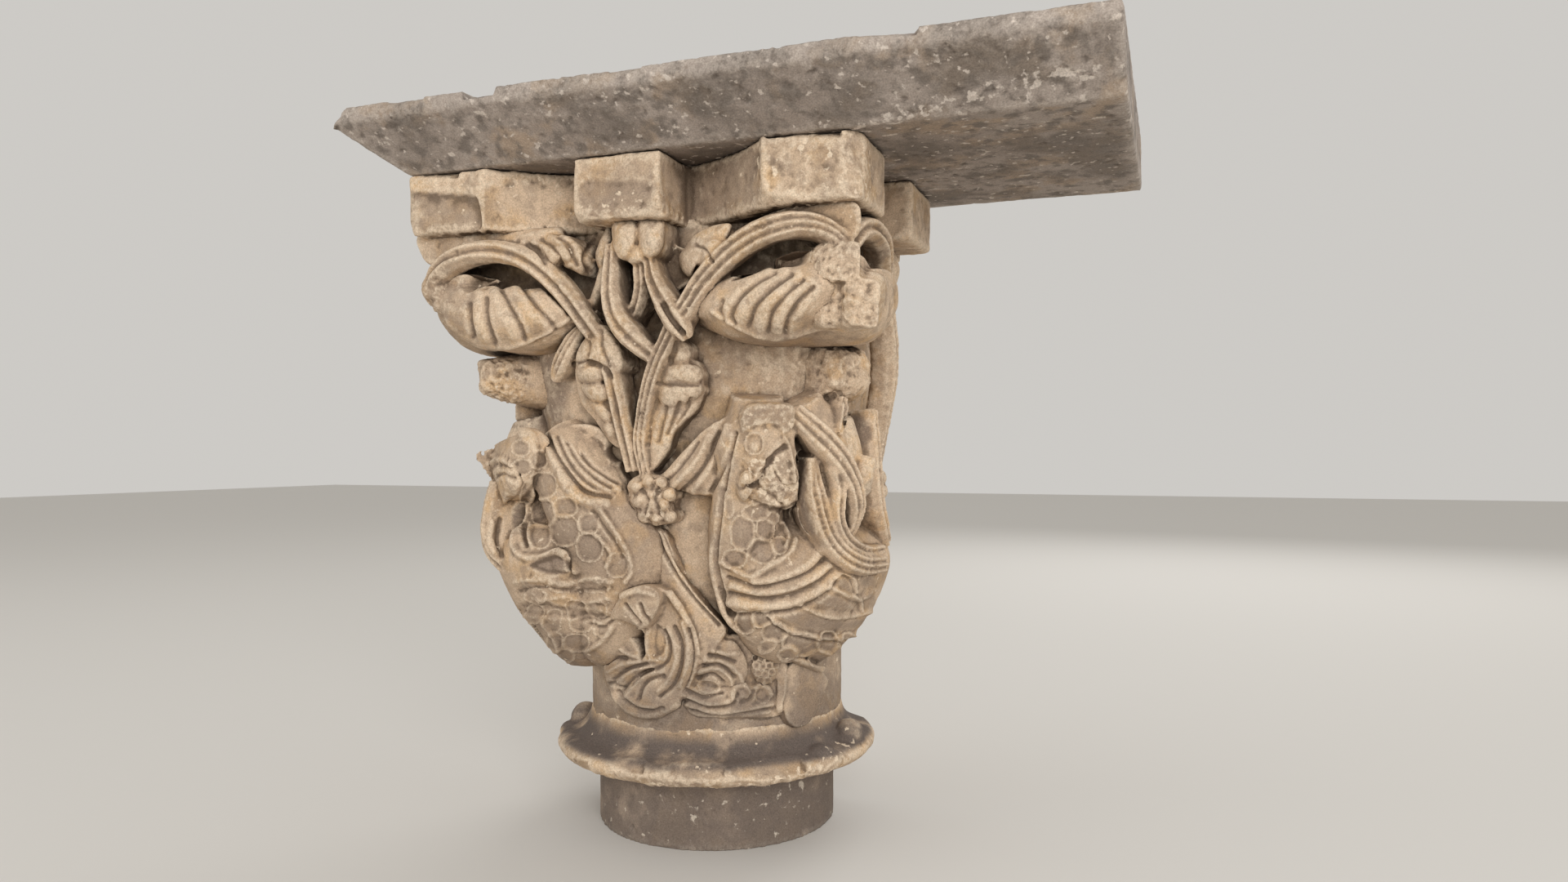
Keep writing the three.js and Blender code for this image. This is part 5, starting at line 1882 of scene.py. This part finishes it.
@dataclass
class LowerFoliage:
    """Curled leaf, palmette and grapes above the neck, and the smooth plate over them."""

    bunch: tuple[Pixel, ...] = (
        (933, 806), (940, 808), (926, 815), (934, 816), (942, 815), (949, 814), (928, 824), (937, 825),
        (945, 823), (931, 833), (940, 833), (925, 806), (947, 806))

    def masses(self) -> list[Shell]:
        """Return the leaves' masses and the plate."""
        curl = [(744, 764, 20), (754, 737, 24), (768, 722, 26), (788, 716, 26), (812, 723, 23),
                (832, 740, 19), (846, 765, 16), (853, 792, 14), (852, 818, 12), (845, 840, 10),
                (834, 857, 8), (818, 870, 6), (798, 878, 5), (778, 876, 5), (760, 866, 6), (746, 846, 7),
                (738, 822, 9), (741, 795, 13)]
        lip = [(746, 757, 26), (755, 737, 30), (770, 723, 32), (790, 717, 31), (806, 727, 28), (806, 745, 27),
               (797, 762, 26), (786, 770, 26), (772, 764, 27), (760, 760, 27)]
        field = [(846, 812, 4), (868, 796, 6), (890, 778, 7), (915, 780, 7), (948, 796, 6), (968, 818, 6),
                 (966, 850, 5), (957, 876, 4), (900, 884, 2), (846, 876, 2), (838, 845, 3)]
        palmette = [(862, 806, 5), (872, 794, 7), (886, 783, 8), (900, 785, 8), (910, 798, 8), (916, 815, 8),
                    (914, 830, 8), (900, 838, 7), (880, 840, 6), (862, 836, 5), (852, 822, 4)]
        base = [(838, 846, 4), (856, 838, 5), (880, 842, 6), (905, 836, 6), (930, 838, 7), (946, 848, 7),
                (946, 872, 5), (925, 878, 3), (890, 878, 3), (860, 873, 3), (842, 862, 3)]
        plate = [(812, 650, 8), (833, 698, 9), (850, 726, 11), (870, 749, 13), (889, 771, 14), (880, 789, 14),
                 (868, 804, 12), (858, 816, 10), (850, 800, 9), (842, 770, 9), (826, 735, 8), (806, 715, 6),
                 (790, 690, 6), (788, 655, 6)]
        panel = [(966, 815, 9), (985, 811, 10), (1003, 818, 10), (1015, 833, 9), (1008, 852, 8),
                 (1000, 871, 7), (990, 886, 6), (974, 891, 6), (962, 880, 7), (959, 850, 8)]
        strip = [(948, 800, 8), (957, 808, 8), (963, 824, 8), (962, 846, 8), (957, 872, 7), (950, 870, 7),
                 (951, 846, 7), (951, 824, 7)]
        return [
            pillow(field, 7, 14), pillow(curl, 13, 22), pillow(lip, 34, 12), pillow(palmette, 14, 18),
            pillow(base, 11, 16), pillow(plate, 12, 22), pillow(panel, 11, 18, fullness=0.2),
            knob(937, 819, 18, 7, 14), pillow(strip, 10, 16),
        ]

    def dishes(self) -> list[Dish]:
        """Return the hollow under the curled lip and the gap in its heart."""
        return [
            # the hollow under the curled lip is darkened as painted shade
            Dish(((752, 772), (764, 764), (780, 766), (790, 778), (791, 800), (786, 808), (778, 790),
                  (768, 778)), -16.0, 5.0, 0.8),
            Dish(((802, 764), (812, 768), (816, 782), (813, 800), (803, 803), (798, 788)), -2.0, 4.0),
        ]

    def strokes(self) -> list[Stroke]:
        """Return the ridges and cuts of the leaves."""
        raised = [
            ((818, 768), (826, 786), (828, 808), (820, 830), (806, 846)),
            ((836, 762), (843, 788), (841, 815), (833, 840)), ((795, 770), (792, 790), (798, 806)),
            ((756, 790), (770, 800), (790, 806)), ((746, 822), (766, 812), (790, 810), (808, 806)),
            ((758, 836), (774, 822), (798, 816)), ((770, 850), (780, 834), (800, 822)),
            ((748, 852), (762, 868), (786, 876), (812, 874), (832, 862)),
            ((768, 850), (782, 862), (802, 866)), ((762, 730), (780, 724), (800, 728)),
            ((864, 808), (886, 811), (902, 822), (908, 832)),
            ((856, 822), (878, 818), (893, 828), (896, 838)),
            ((840, 852), (864, 862), (892, 858), (896, 848)),
            ((842, 862), (872, 872), (908, 869), (944, 862)),
            ((898, 856), (900, 842), (910, 838), (918, 848)),
            ((922, 856), (924, 843), (934, 839), (943, 850)),
            ((950, 802), (960, 814), (960, 840), (955, 868)), ((872, 796), (888, 800), (902, 800)),
        ]
        cuts = [
            ((826, 768), (835, 790), (834, 815), (825, 838), (808, 853)),
            ((844, 770), (850, 795), (848, 822), (838, 848)),
            ((814, 772), (820, 790), (818, 808), (806, 818), (788, 824), (775, 838)),
            ((750, 832), (768, 820), (792, 812)), ((762, 846), (776, 830), (798, 820)),
            ((782, 856), (786, 842), (796, 832), (812, 828)),
            ((756, 846), (768, 860), (790, 869), (812, 868)), ((742, 812), (752, 806), (766, 806)),
            ((742, 838), (752, 836), (762, 842)), ((860, 815), (882, 814), (898, 828)),
            ((855, 830), (872, 826), (886, 836)), ((868, 802), (884, 805), (900, 810)),
            ((842, 846), (862, 854), (884, 848)), ((842, 857), (868, 866), (895, 864), (903, 850)),
            ((908, 860), (918, 856), (922, 846)), ((846, 868), (880, 876), (920, 873), (944, 868)),
            ((766, 740), (774, 752), (784, 764)), ((784, 740), (788, 752), (796, 760)),
        ]
        strokes = [Stroke(route, 6.5, 2.6) for route in raised]
        # the cuts are darkened as painted shade
        strokes += [Stroke(route, 4.5, -3.0, 0.5) for route in cuts]
        strokes += [Stroke(((805, 655), (812, 676), (826, 700), (842, 722), (862, 746), (880, 765)), 4.5,
                           -3.0, 0.7),
                    Stroke(((812, 652), (822, 676), (836, 698), (852, 716)), 4, -2.0, 0.4),
                    Stroke(((820, 727), (834, 748), (848, 772), (856, 800)), 7, 2.5),
                    Stroke(((748, 880), (800, 884), (860, 882), (944, 882)), 5, -2.0, 0.3)]
        return strokes

    def cells(self) -> list[Cell]:
        """Return the bunch of berries, and the hollows of the palmette."""
        berries = [(across, down, 4.8, 4.6) for across, down in self.bunch]
        ovals = [(868, 841, 13, 8, 12), (908, 850, 9, 9), (933, 851, 9, 9)]
        return cell_rows(berries, 1.0, 1.9, 0.7) + cell_rows(ovals, 1.1, 1.8, 0.4)

    def carving(self) -> Carving:
        """Return all of the lower carving."""
        return Carving(shells=self.masses(), dishes=self.dishes(), strokes=self.strokes(), cells=self.cells())


@dataclass
class SideBeasts:
    """The plainer beasts on the side faces, next to the corners."""

    def carving(self) -> Carving:
        """Return one beast for each side face."""
        stone = Carving()
        for face, near in ((Face.LEFT, 1), (Face.RIGHT, -1)):
            stations = [(near * 34, 338, 20, 28), (near * 34, 318, 24, 40), (near * 33, 290, 27, 42),
                        (near * 32, 250, 32, 38), (near * 32, 205, 36, 34), (near * 38, 165, 24, 16)]
            stone.shells.append(swelling(stations, face.value))
            stone.stems.append(stem([(near * 28, 304, 44), (near * 29, 288, 46), (near * 27, 272, 40)], 15, 9,
                                    face.value, ridges=1, ends=(1, 0.3)))
            for row, z in enumerate(range(180, 300, 20)):
                for step in (-1, 0, 1):
                    azimuth = near * (32 + step * 7 + (row % 2) * 3) + face.value
                    stone.pads.append(Pad(azimuth, z, 8, 10, depth=1.4))
        return stone


@dataclass
class NeckRing:
    """Turned ring with a hollow top, worn and broken at both ends."""

    radius: float = 134.7
    sides: int = 180

    def carving(self) -> Carving:
        """Return the ring and what is left of its higher rim."""
        low = RING_UNDERSIDE
        edge = catmull([(118, low), (128, low + 1.5), (133.5, low + 6), (self.radius, low + 11),
                        (131, low + 16), (125, low + 18), (118, low + 20), (112, low + 25), (108, low + 32),
                        (106, low + 40)], 60)
        profile = [(30, low), (90, low), *edge, (90, low + 41), (30, low + 41)]
        ring = loft(np.array([circle(r, z, self.sides) for r, z in profile]))
        rim = Scar(((640, 905), (700, 938), (800, 952), (900, 952), (990, 930), (1040, 895), (1046, 920),
                    (1000, 962), (900, 985), (780, 985), (680, 965), (640, 935)), 0.3, 0.9)
        high_rim = [lump((-112, -30, 76), (15, 13, 13)), lump((-118, -44, 68), (12, 10, 8)),
                    lump((120, -6, 75), (15, 13, 14)), lump((110, -52, 71), (12, 12, 8))]
        return Carving(shells=[ring, *high_rim], scars=[rim])

    def worn(self, points: Array) -> Array:
        """Return the points with the rim's breaks."""
        chips = [((-20, -134, 70), (0, -0.6, 0.8), 3.0), ((40, -128, 70), (0.2, -0.6, 0.7), 3.5),
                 ((88, -100, 70), (0.5, -0.5, 0.7), 5.0), ((-70, -114, 60), (-0.3, -0.7, -0.5), 3.0),
                 ((10, -134, 60), (0, -0.8, -0.6), 2.5)]
        return knocked(points, chips)

    def build(self, mason: Mason) -> Mesh:
        """Return the finished ring."""
        blank = Blank("neck_ring", voxel=1.5, smoothing=2, triangles=60_000, waves=1.3, marks=0.4, pits=0.7,
                      seed=5.0)
        return mason.carve(self.carving(), blank, self.worn)


@dataclass
class ImpostSlab:
    """Slab with a splayed front and left side, cut square at the right."""

    low: float = 520.3
    rise: float = 33.0
    splay: float = 41.5
    band: float = 10.0
    right: float = 347.0

    def carving(self) -> Carving:
        """Return the slab as a fine loft."""
        top = self.low + self.rise + self.band
        levels = [(self.low, 0.0), (self.low + self.rise, self.splay), (top, self.splay)]
        rings = []
        for z, out in levels:
            edge = ABACUS_HALF + out
            corners = np.array([(-edge, -edge), (self.right, -edge), (self.right, BACK_PLANE),
                                (-edge, BACK_PLANE), (-edge, -edge)])
            walk = np.vstack([np.linspace(a, b, 24, endpoint=False) for a,
                              b in zip(corners[:-1], corners[1:])])
            rings.append(np.column_stack([walk, np.full(len(walk), z)]))
        scars = [Scar(((1035, 150), (1110, 128), (1200, 104), (1300, 78), (1345, 82), (1345, 100),
                       (1240, 118), (1150, 140), (1070, 164), (1040, 162)), 0.35, 0.75),
                 Scar(((400, 105), (700, 70), (1000, 40), (1340, 0), (1345, 60), (1000, 110), (700, 150),
                       (420, 180)), 0.16, 0.0)]
        return Carving(shells=[loft(np.array(rings))], scars=scars)

    def broken(self, points: Array) -> Array:
        """Return the points with the broken corner, the notch and knocks along the edges."""
        chips = [((-221, -221, 563), (-0.75, -0.2, 0.62), 13.0), ((-221, -221, 548), (-0.6, -0.6, -0.5), 4.0),
                 ((-150, -221, 563), (0, -0.6, 0.8), 2.5), ((30, -221, 563), (0, -0.5, 0.85), 2.0),
                 ((210, -221, 563), (0.1, -0.5, 0.85), 3.0)]
        knocked(points, chips)
        notch_middle, notch_half, notch_back, notch_floor = -85.0, 13.0, -206.0, 556.5
        notch = (np.abs(points[:, 0] - notch_middle) < notch_half) & (points[:, 1] < notch_back)
        notch &= points[:, 2] > notch_floor
        points[notch, 2] = notch_floor
        return points

    def build(self, mason: Mason) -> Mesh:
        """Return the finished slab."""
        blank = Blank("impost_block", voxel=2.2, smoothing=1, triangles=80_000, waves=0.9, marks=0.55,
                      pits=1.1, seed=8.0)
        return inside(mason.carve(self.carving(), blank, self.broken), "impost")


@dataclass
class ShaftDrum:
    """The top of the shaft, cut off flat below."""

    radius: float = 99.8
    sides: int = 200

    def carving(self) -> Carving:
        """Return the drum."""
        rings = [circle(self.radius, z, self.sides) for z in np.linspace(0.0, RING_UNDERSIDE - 0.3, 8)]
        return Carving(shells=[loft(np.array(rings))])

    def build(self, mason: Mason) -> Mesh:
        """Return the finished drum."""
        blank = Blank("shaft_drum", voxel=1.7, smoothing=1, triangles=38_000, waves=0.5, marks=0.3, pits=0.7,
                      seed=11.0)
        return inside(mason.carve(self.carving(), blank), "shaft_stub")


def inside(mesh: Mesh, node: str) -> Mesh:
    """Return a mesh with no point outside its node's box."""
    low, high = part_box(node)
    points = np.clip(mesh_points(mesh), np.array(low) / MM, np.array(high) / MM)
    set_points(mesh, points)
    return mesh


class Exposure:
    """Works out how closed in each point of the finished stones is, for painted shade, and how far it stands
    out, for pale edges that are part worn stone and part painted highlight.
    """

    lift: float = 0.4

    def __init__(self, meshes: Sequence[Mesh], rays: int = 14, reach: float = 70.0) -> None:
        """Gather every stone as one obstacle.

        Args:
            meshes: The stones.
            rays: Directions tried from each point.
            reach: How far off another surface still shades a point.
        """
        self.reach = reach * MM
        corners: list[Vector] = []
        faces: list[tuple[int, ...]] = []
        for mesh in meshes:
            start = len(corners)
            corners += [vertex.co.copy() for vertex in mesh.vertices]
            faces += [tuple(start + corner for corner in face.vertices) for face in mesh.polygons]
        self.tree = BVHTree.FromPolygons(corners, faces)
        golden = math.pi * (3 - math.sqrt(5))
        share = (np.arange(rays) + 0.5) / rays
        spread, turn = np.sqrt(share), golden * np.arange(rays)
        self.fan = np.column_stack([spread * np.cos(turn), spread * np.sin(turn), np.sqrt(1 - share)])

    def hollow(self, mesh: Mesh) -> Array:
        """Return how closed in each point is, from 0 to 1; the stone's colour turns it into painted shade."""
        points, normals = mesh_points(mesh) * MM, mesh_normals(mesh)
        helper = np.where(np.abs(normals[:, 2:3]) < 0.9, [[0.0, 0.0, 1.0]], [[1.0, 0.0, 0.0]])
        across = unit(np.cross(helper, normals))
        up = np.cross(normals, across)
        start = points + normals * self.lift * MM
        closed = np.zeros(len(points))
        for x, y, z in self.fan:
            rays = across * x + up * y + normals * z
            for index, (origin, ray) in enumerate(zip(start.tolist(), rays.tolist())):
                distance = self.tree.ray_cast(origin, ray, self.reach)[3]
                if distance is not None:
                    closed[index] += 1.0 - 0.5 * distance / self.reach
        return closed / len(self.fan)

    @staticmethod
    def bulge(mesh: Mesh, passes: int = 6) -> Array:
        """Return how far each point stands out of its surroundings, in millimetres."""
        points, normals = mesh_points(mesh), mesh_normals(mesh)
        edges = np.empty(len(mesh.edges) * 2, int)
        mesh.edges.foreach_get("vertices", edges)
        a, b = edges.reshape(-1, 2).T
        degree = np.maximum(np.bincount(np.concatenate([a, b]), minlength=len(points)), 1)
        smooth = points.copy()
        for _ in range(passes):
            gathered = [np.bincount(a, smooth[b, axis], len(points)) + np.bincount(b, smooth[a, axis],
                                                                                   len(points))
                        for axis in range(3)]
            smooth = np.column_stack(gathered) / degree[:, None]
        return np.sum((points - smooth) * normals, axis=1)


def srgb(red: int, green: int, blue: int) -> tuple[float, float, float, float]:
    """Return a linear colour for display values from 0 to 255."""
    parts = [value / 255 for value in (red, green, blue)]
    linear = [part / 12.92 if part <= 0.04045 else ((part + 0.055) / 1.055) ** 2.4 for part in parts]
    return (*linear, 1.0)


@dataclass(frozen=True)
class StoneFinish:
    """A weathered stone: its tones, how it is stained, its painted shade and highlight, and how coarse its
    grain is.
    """

    name: str
    light: Colour
    middle: Colour
    warm: Colour
    grey: Colour
    # colour of the painted shade in hollows and creases
    recess: Colour
    # pale fresh stone, also laid on edges that stand out as painted highlight
    pale: Colour
    # a darker tone laid on the ring's hollow top and towards the neck
    dark_tone: Colour = srgb(104, 93, 86)
    speckle: float = 0.26
    grain: float = 0.5
    mottling: float = 0.5
    # how strongly edges that stand out are paled: part worn stone, part painted highlight
    wear_and_highlight: float = 0.6
    crumbs: float = 0.0
    roughness: float = 0.9
    shine: float = 0.2

    def colour(self, make: "ShaderWriter", place: Socket, fine: Socket, grain: Socket) -> Socket:
        """Return the stone's colour, from its broad tones to its specks.

        Args:
            make: What writes the nodes.
            place: Where on the stone a point lies.
            fine: Noise of the worn edges.
            grain: Noise of the grain.
        Returns:
            The colour.
        """
        broad = make.noise(place, 9.0, 3.0)
        cloud = make.noise(place, 34.0, 5.0)
        mottle = make.noise(place, 85.0, 6.0)
        colour = make.mix(make.ramp(broad, 0.38, 0.62), self.light, self.middle)
        colour = make.mix(make.scaled(make.ramp(cloud, 0.48, 0.62), 0.65), colour, self.warm)
        stain = make.ramp(make.noise(place, 17.0, 8.0), 0.47, 0.62)
        colour = make.mix(make.scaled(stain, self.mottling * 0.9), colour, self.grey)
        spots = make.scaled(make.ramp(mottle, 0.47, 0.66), self.mottling)
        colour = make.mix(spots, colour, self.grey)
        # partly grey stain in the scales, partly painted shade in cuts and deep hollows
        patina_and_shade = make.math("MULTIPLY", make.attribute("patina_and_shade"), make.ramp(mottle, 0.2, 0.42))
        colour = make.mix(patina_and_shade, colour, self.grey)
        # painted shade in creases: darker towards the recess colour where the surface dips
        colour = make.mix(make.scaled(make.attribute("crevice"), 0.65), colour, self.recess)
        # painted shade: darker towards the recess colour where other stone closes a point in
        colour = make.mix(make.ramp(make.attribute("hollow"), 0.36, 0.92), colour, self.recess)
        # pale edges where the surface stands out: part worn stone, part painted highlight
        rubbed_and_highlit = make.math("MULTIPLY", make.attribute("worn"), make.ramp(fine, 0.25, 0.6))
        colour = make.mix(make.scaled(rubbed_and_highlit, self.wear_and_highlight), colour, self.pale)
        # darker tone on the ring's hollow top and on the bell towards the neck
        dark_tone = make.math("MULTIPLY", make.attribute("dark_tone"), make.ramp(cloud, 0.25, 0.5))
        colour = make.mix(dark_tone, colour, self.dark_tone)
        bright = make.math("ADD", make.scaled(make.attribute("fresh"), 0.14), self.crumbs)
        shining = make.ramp(make.math("ADD", make.noise(place, 160.0, 6.0), bright), 0.66, 0.74)
        colour = make.mix(make.scaled(shining, 0.8), colour, self.pale)
        speck = make.math("MULTIPLY_ADD", make.math("SUBTRACT", grain, 0.5), self.speckle * 4, 1.0)
        return make.vector("SCALE", colour, speck)

    def build(self) -> bpy.types.Material:
        """Return the material."""
        material = bpy.data.materials.new(self.name)
        material.use_nodes = True
        material.node_tree.nodes.clear()
        make = ShaderWriter(material.node_tree)
        place = make.node("ShaderNodeTexCoord").outputs["Object"]
        fine = make.noise(place, 300.0, 4.0)
        grain = make.noise(place, 900.0, 3.0)
        height = make.math("ADD", make.scaled(fine, 0.6), make.scaled(grain, 0.4))
        bump = make.node("ShaderNodeBump", {"Height": height, "Strength": self.grain, "Distance": 0.6 * MM})
        shader = make.node("ShaderNodeBsdfPrincipled", {
            "Base Color": self.colour(make, place, fine, grain), "Normal": bump.outputs[0],
            "Roughness": self.roughness, "Specular IOR Level": self.shine,
        })
        make.node("ShaderNodeOutputMaterial", {"Surface": shader.outputs[0]})
        return material


class ShaderWriter(TreeWriter):
    """Adds what the stone's shader uses."""

    def attribute(self, name: str) -> Socket:
        """Return a named attribute of the stone."""
        return self.node("ShaderNodeAttribute", attribute_name=name).outputs["Fac"]

    def scaled(self, value: Socket, factor: float) -> Socket:
        """Return a value times a number."""
        return self.math("MULTIPLY", value, factor)

    def ramp(self, value: Socket, low: float, high: float) -> Socket:
        """Return a soft 0 to 1 ramp of a value between two limits."""
        made = self.node("ShaderNodeMapRange", {"Value": value, "From Min": low, "From Max": high},
                         interpolation_type="SMOOTHSTEP")
        return made.outputs["Result"]

    def mix(self, factor: Socket, first: Socket | Colour, second: Socket | Colour) -> Socket:
        """Return a mix of two colours."""
        return self.node("ShaderNodeMix", {0: factor, 6: first, 7: second}, data_type="RGBA").outputs[2]


# In each finish, recess is the colour of painted shade in hollows and creases.
CARVED = StoneFinish("carved_limestone", light=srgb(200, 176, 150), middle=srgb(180, 157, 133),
                     warm=srgb(202, 167, 124), grey=srgb(144, 126, 110), recess=srgb(80, 65, 52),
                     pale=srgb(226, 207, 182))
GREY = StoneFinish("grey_limestone", light=srgb(160, 148, 138), middle=srgb(144, 132, 122),
                   warm=srgb(164, 143, 121), grey=srgb(112, 103, 95), recess=srgb(92, 82, 74),
                   pale=srgb(204, 192, 180), speckle=0.26, grain=0.6, mottling=0.85, wear_and_highlight=0.3, crumbs=0.05)
SHAFT = StoneFinish("shaft_stone", light=srgb(156, 139, 123), middle=srgb(136, 120, 106),
                    warm=srgb(158, 138, 116), grey=srgb(112, 100, 90), recess=srgb(74, 63, 54),
                    pale=srgb(200, 188, 172), speckle=0.24, grain=0.5, mottling=0.5, wear_and_highlight=0.4, crumbs=0.03)


@dataclass
class Studio:
    """Pale floor, soft light and the camera at the photograph's angle."""

    floor_size: float = 14_000.0
    floor_tone: Colour = srgb(214, 211, 206)
    room_tone: Colour = srgb(240, 237, 232)
    room_light: float = 0.7
    middle: Spot = (40, -60, 290)

    def camera(self) -> None:
        """Add the camera."""
        data = bpy.data.cameras.new("photo_camera")
        data.lens = SIGHT.lens
        data.sensor_width = SIGHT.sensor
        camera = added("photo_camera", data)
        camera.location = Vector(SIGHT.place) * MM
        camera.rotation_mode = "QUATERNION"
        camera.rotation_quaternion = Vector(SIGHT.axes()[2]).to_track_quat("-Z", "Y")
        bpy.context.scene.camera = camera

    def light(self, name: str, place: Spot, size: float, power: float) -> None:
        """Add one soft light that points at the middle of the object.

        Args:
            name: Its name.
            place: Where it stands.
            size: Its side.
            power: Its power in watts.
        """
        data = bpy.data.lights.new(name, "AREA")
        data.size = size * MM
        data.energy = power
        lamp = added(name, data)
        lamp.location = Vector(place) * MM
        lamp.rotation_mode = "QUATERNION"
        lamp.rotation_quaternion = (Vector(self.middle) - Vector(place)).to_track_quat("-Z", "Y")

    def floor(self) -> None:
        """Add the floor."""
        half = self.floor_size * MM / 2
        corners = [(-half, -half, 0), (half, -half, 0), (half, half, 0), (-half, half, 0)]
        mesh = bpy.data.meshes.new("studio_floor")
        mesh.from_pydata(corners, [], [(0, 1, 2, 3)])
        material = bpy.data.materials.new("pale_floor")
        material.use_nodes = True
        shader = material.node_tree.nodes["Principled BSDF"]
        shader.inputs["Base Color"].default_value = self.floor_tone
        shader.inputs["Roughness"].default_value = 0.9
        mesh.materials.append(material)
        floor = added("studio_floor", mesh)

    def build(self) -> None:
        """Add everything round the object."""
        self.camera()
        self.floor()
        self.light("key_light", (1500, -2300, 1100), 1500, 44)
        self.light("fill_light", (-2300, -1500, 900), 2000, 12)
        self.light("back_light", (600, 2300, 1800), 1800, 20)
        world = bpy.data.worlds.new("soft_room")
        world.use_nodes = True
        background = world.node_tree.nodes["Background"]
        background.inputs["Color"].default_value = self.room_tone
        background.inputs["Strength"].default_value = self.room_light
        bpy.context.scene.world = world
        bpy.context.scene.view_settings.view_transform = "Standard"


def main() -> None:
    """Build every stone, dress it and set up the studio."""
    logging.basicConfig(level=logging.INFO, format="%(message)s")
    Studio().build()
    carved, grey, shaft = CARVED.build(), GREY.build(), SHAFT.build()
    mason = Mason(carved)
    stones = [(group.blank.name, group.build(mason), carved, "capital", "carved_limestone")
              for group in front_pieces()]
    stones += [
        ("abacus_slab", Abacus().build(mason), carved, "capital", "carved_limestone"),
        ("neck_ring", NeckRing().build(mason), carved, "capital", "carved_limestone"),
        ("impost_block", ImpostSlab().build(mason), grey, "impost", "grey_limestone"),
        ("shaft_drum", ShaftDrum().build(mason), shaft, "shaft_stub", "shaft_stone"),
    ]
    exposure = Exposure([mesh for _, mesh, _, _, _ in stones], rays=14)
    for name, mesh, finish, node, slot in stones:
        bulge = exposure.bulge(mesh)
        # how closed in each point is, which the finish paints as shade
        write_attribute(mesh, "hollow", exposure.hollow(mesh))
        # pale edges: part worn stone, part painted highlight
        write_attribute(mesh, "worn", smoothstep(*WEAR_AND_HIGHLIGHT_BULGE, bulge))
        # painted shade in creases
        write_attribute(mesh, "crevice", smoothstep(*CREVICE_DEPTH, -bulge))
        # darker on the ring's hollow top and on the bell towards the neck
        write_attribute(mesh, "dark_tone", ring_top_darkening(mesh) if name == "neck_ring" else neck_darkening(mesh))
        place_piece(name, mesh, finish, node)
        LOG.info("placed %s", name)


if __name__ == "__main__":
    main()
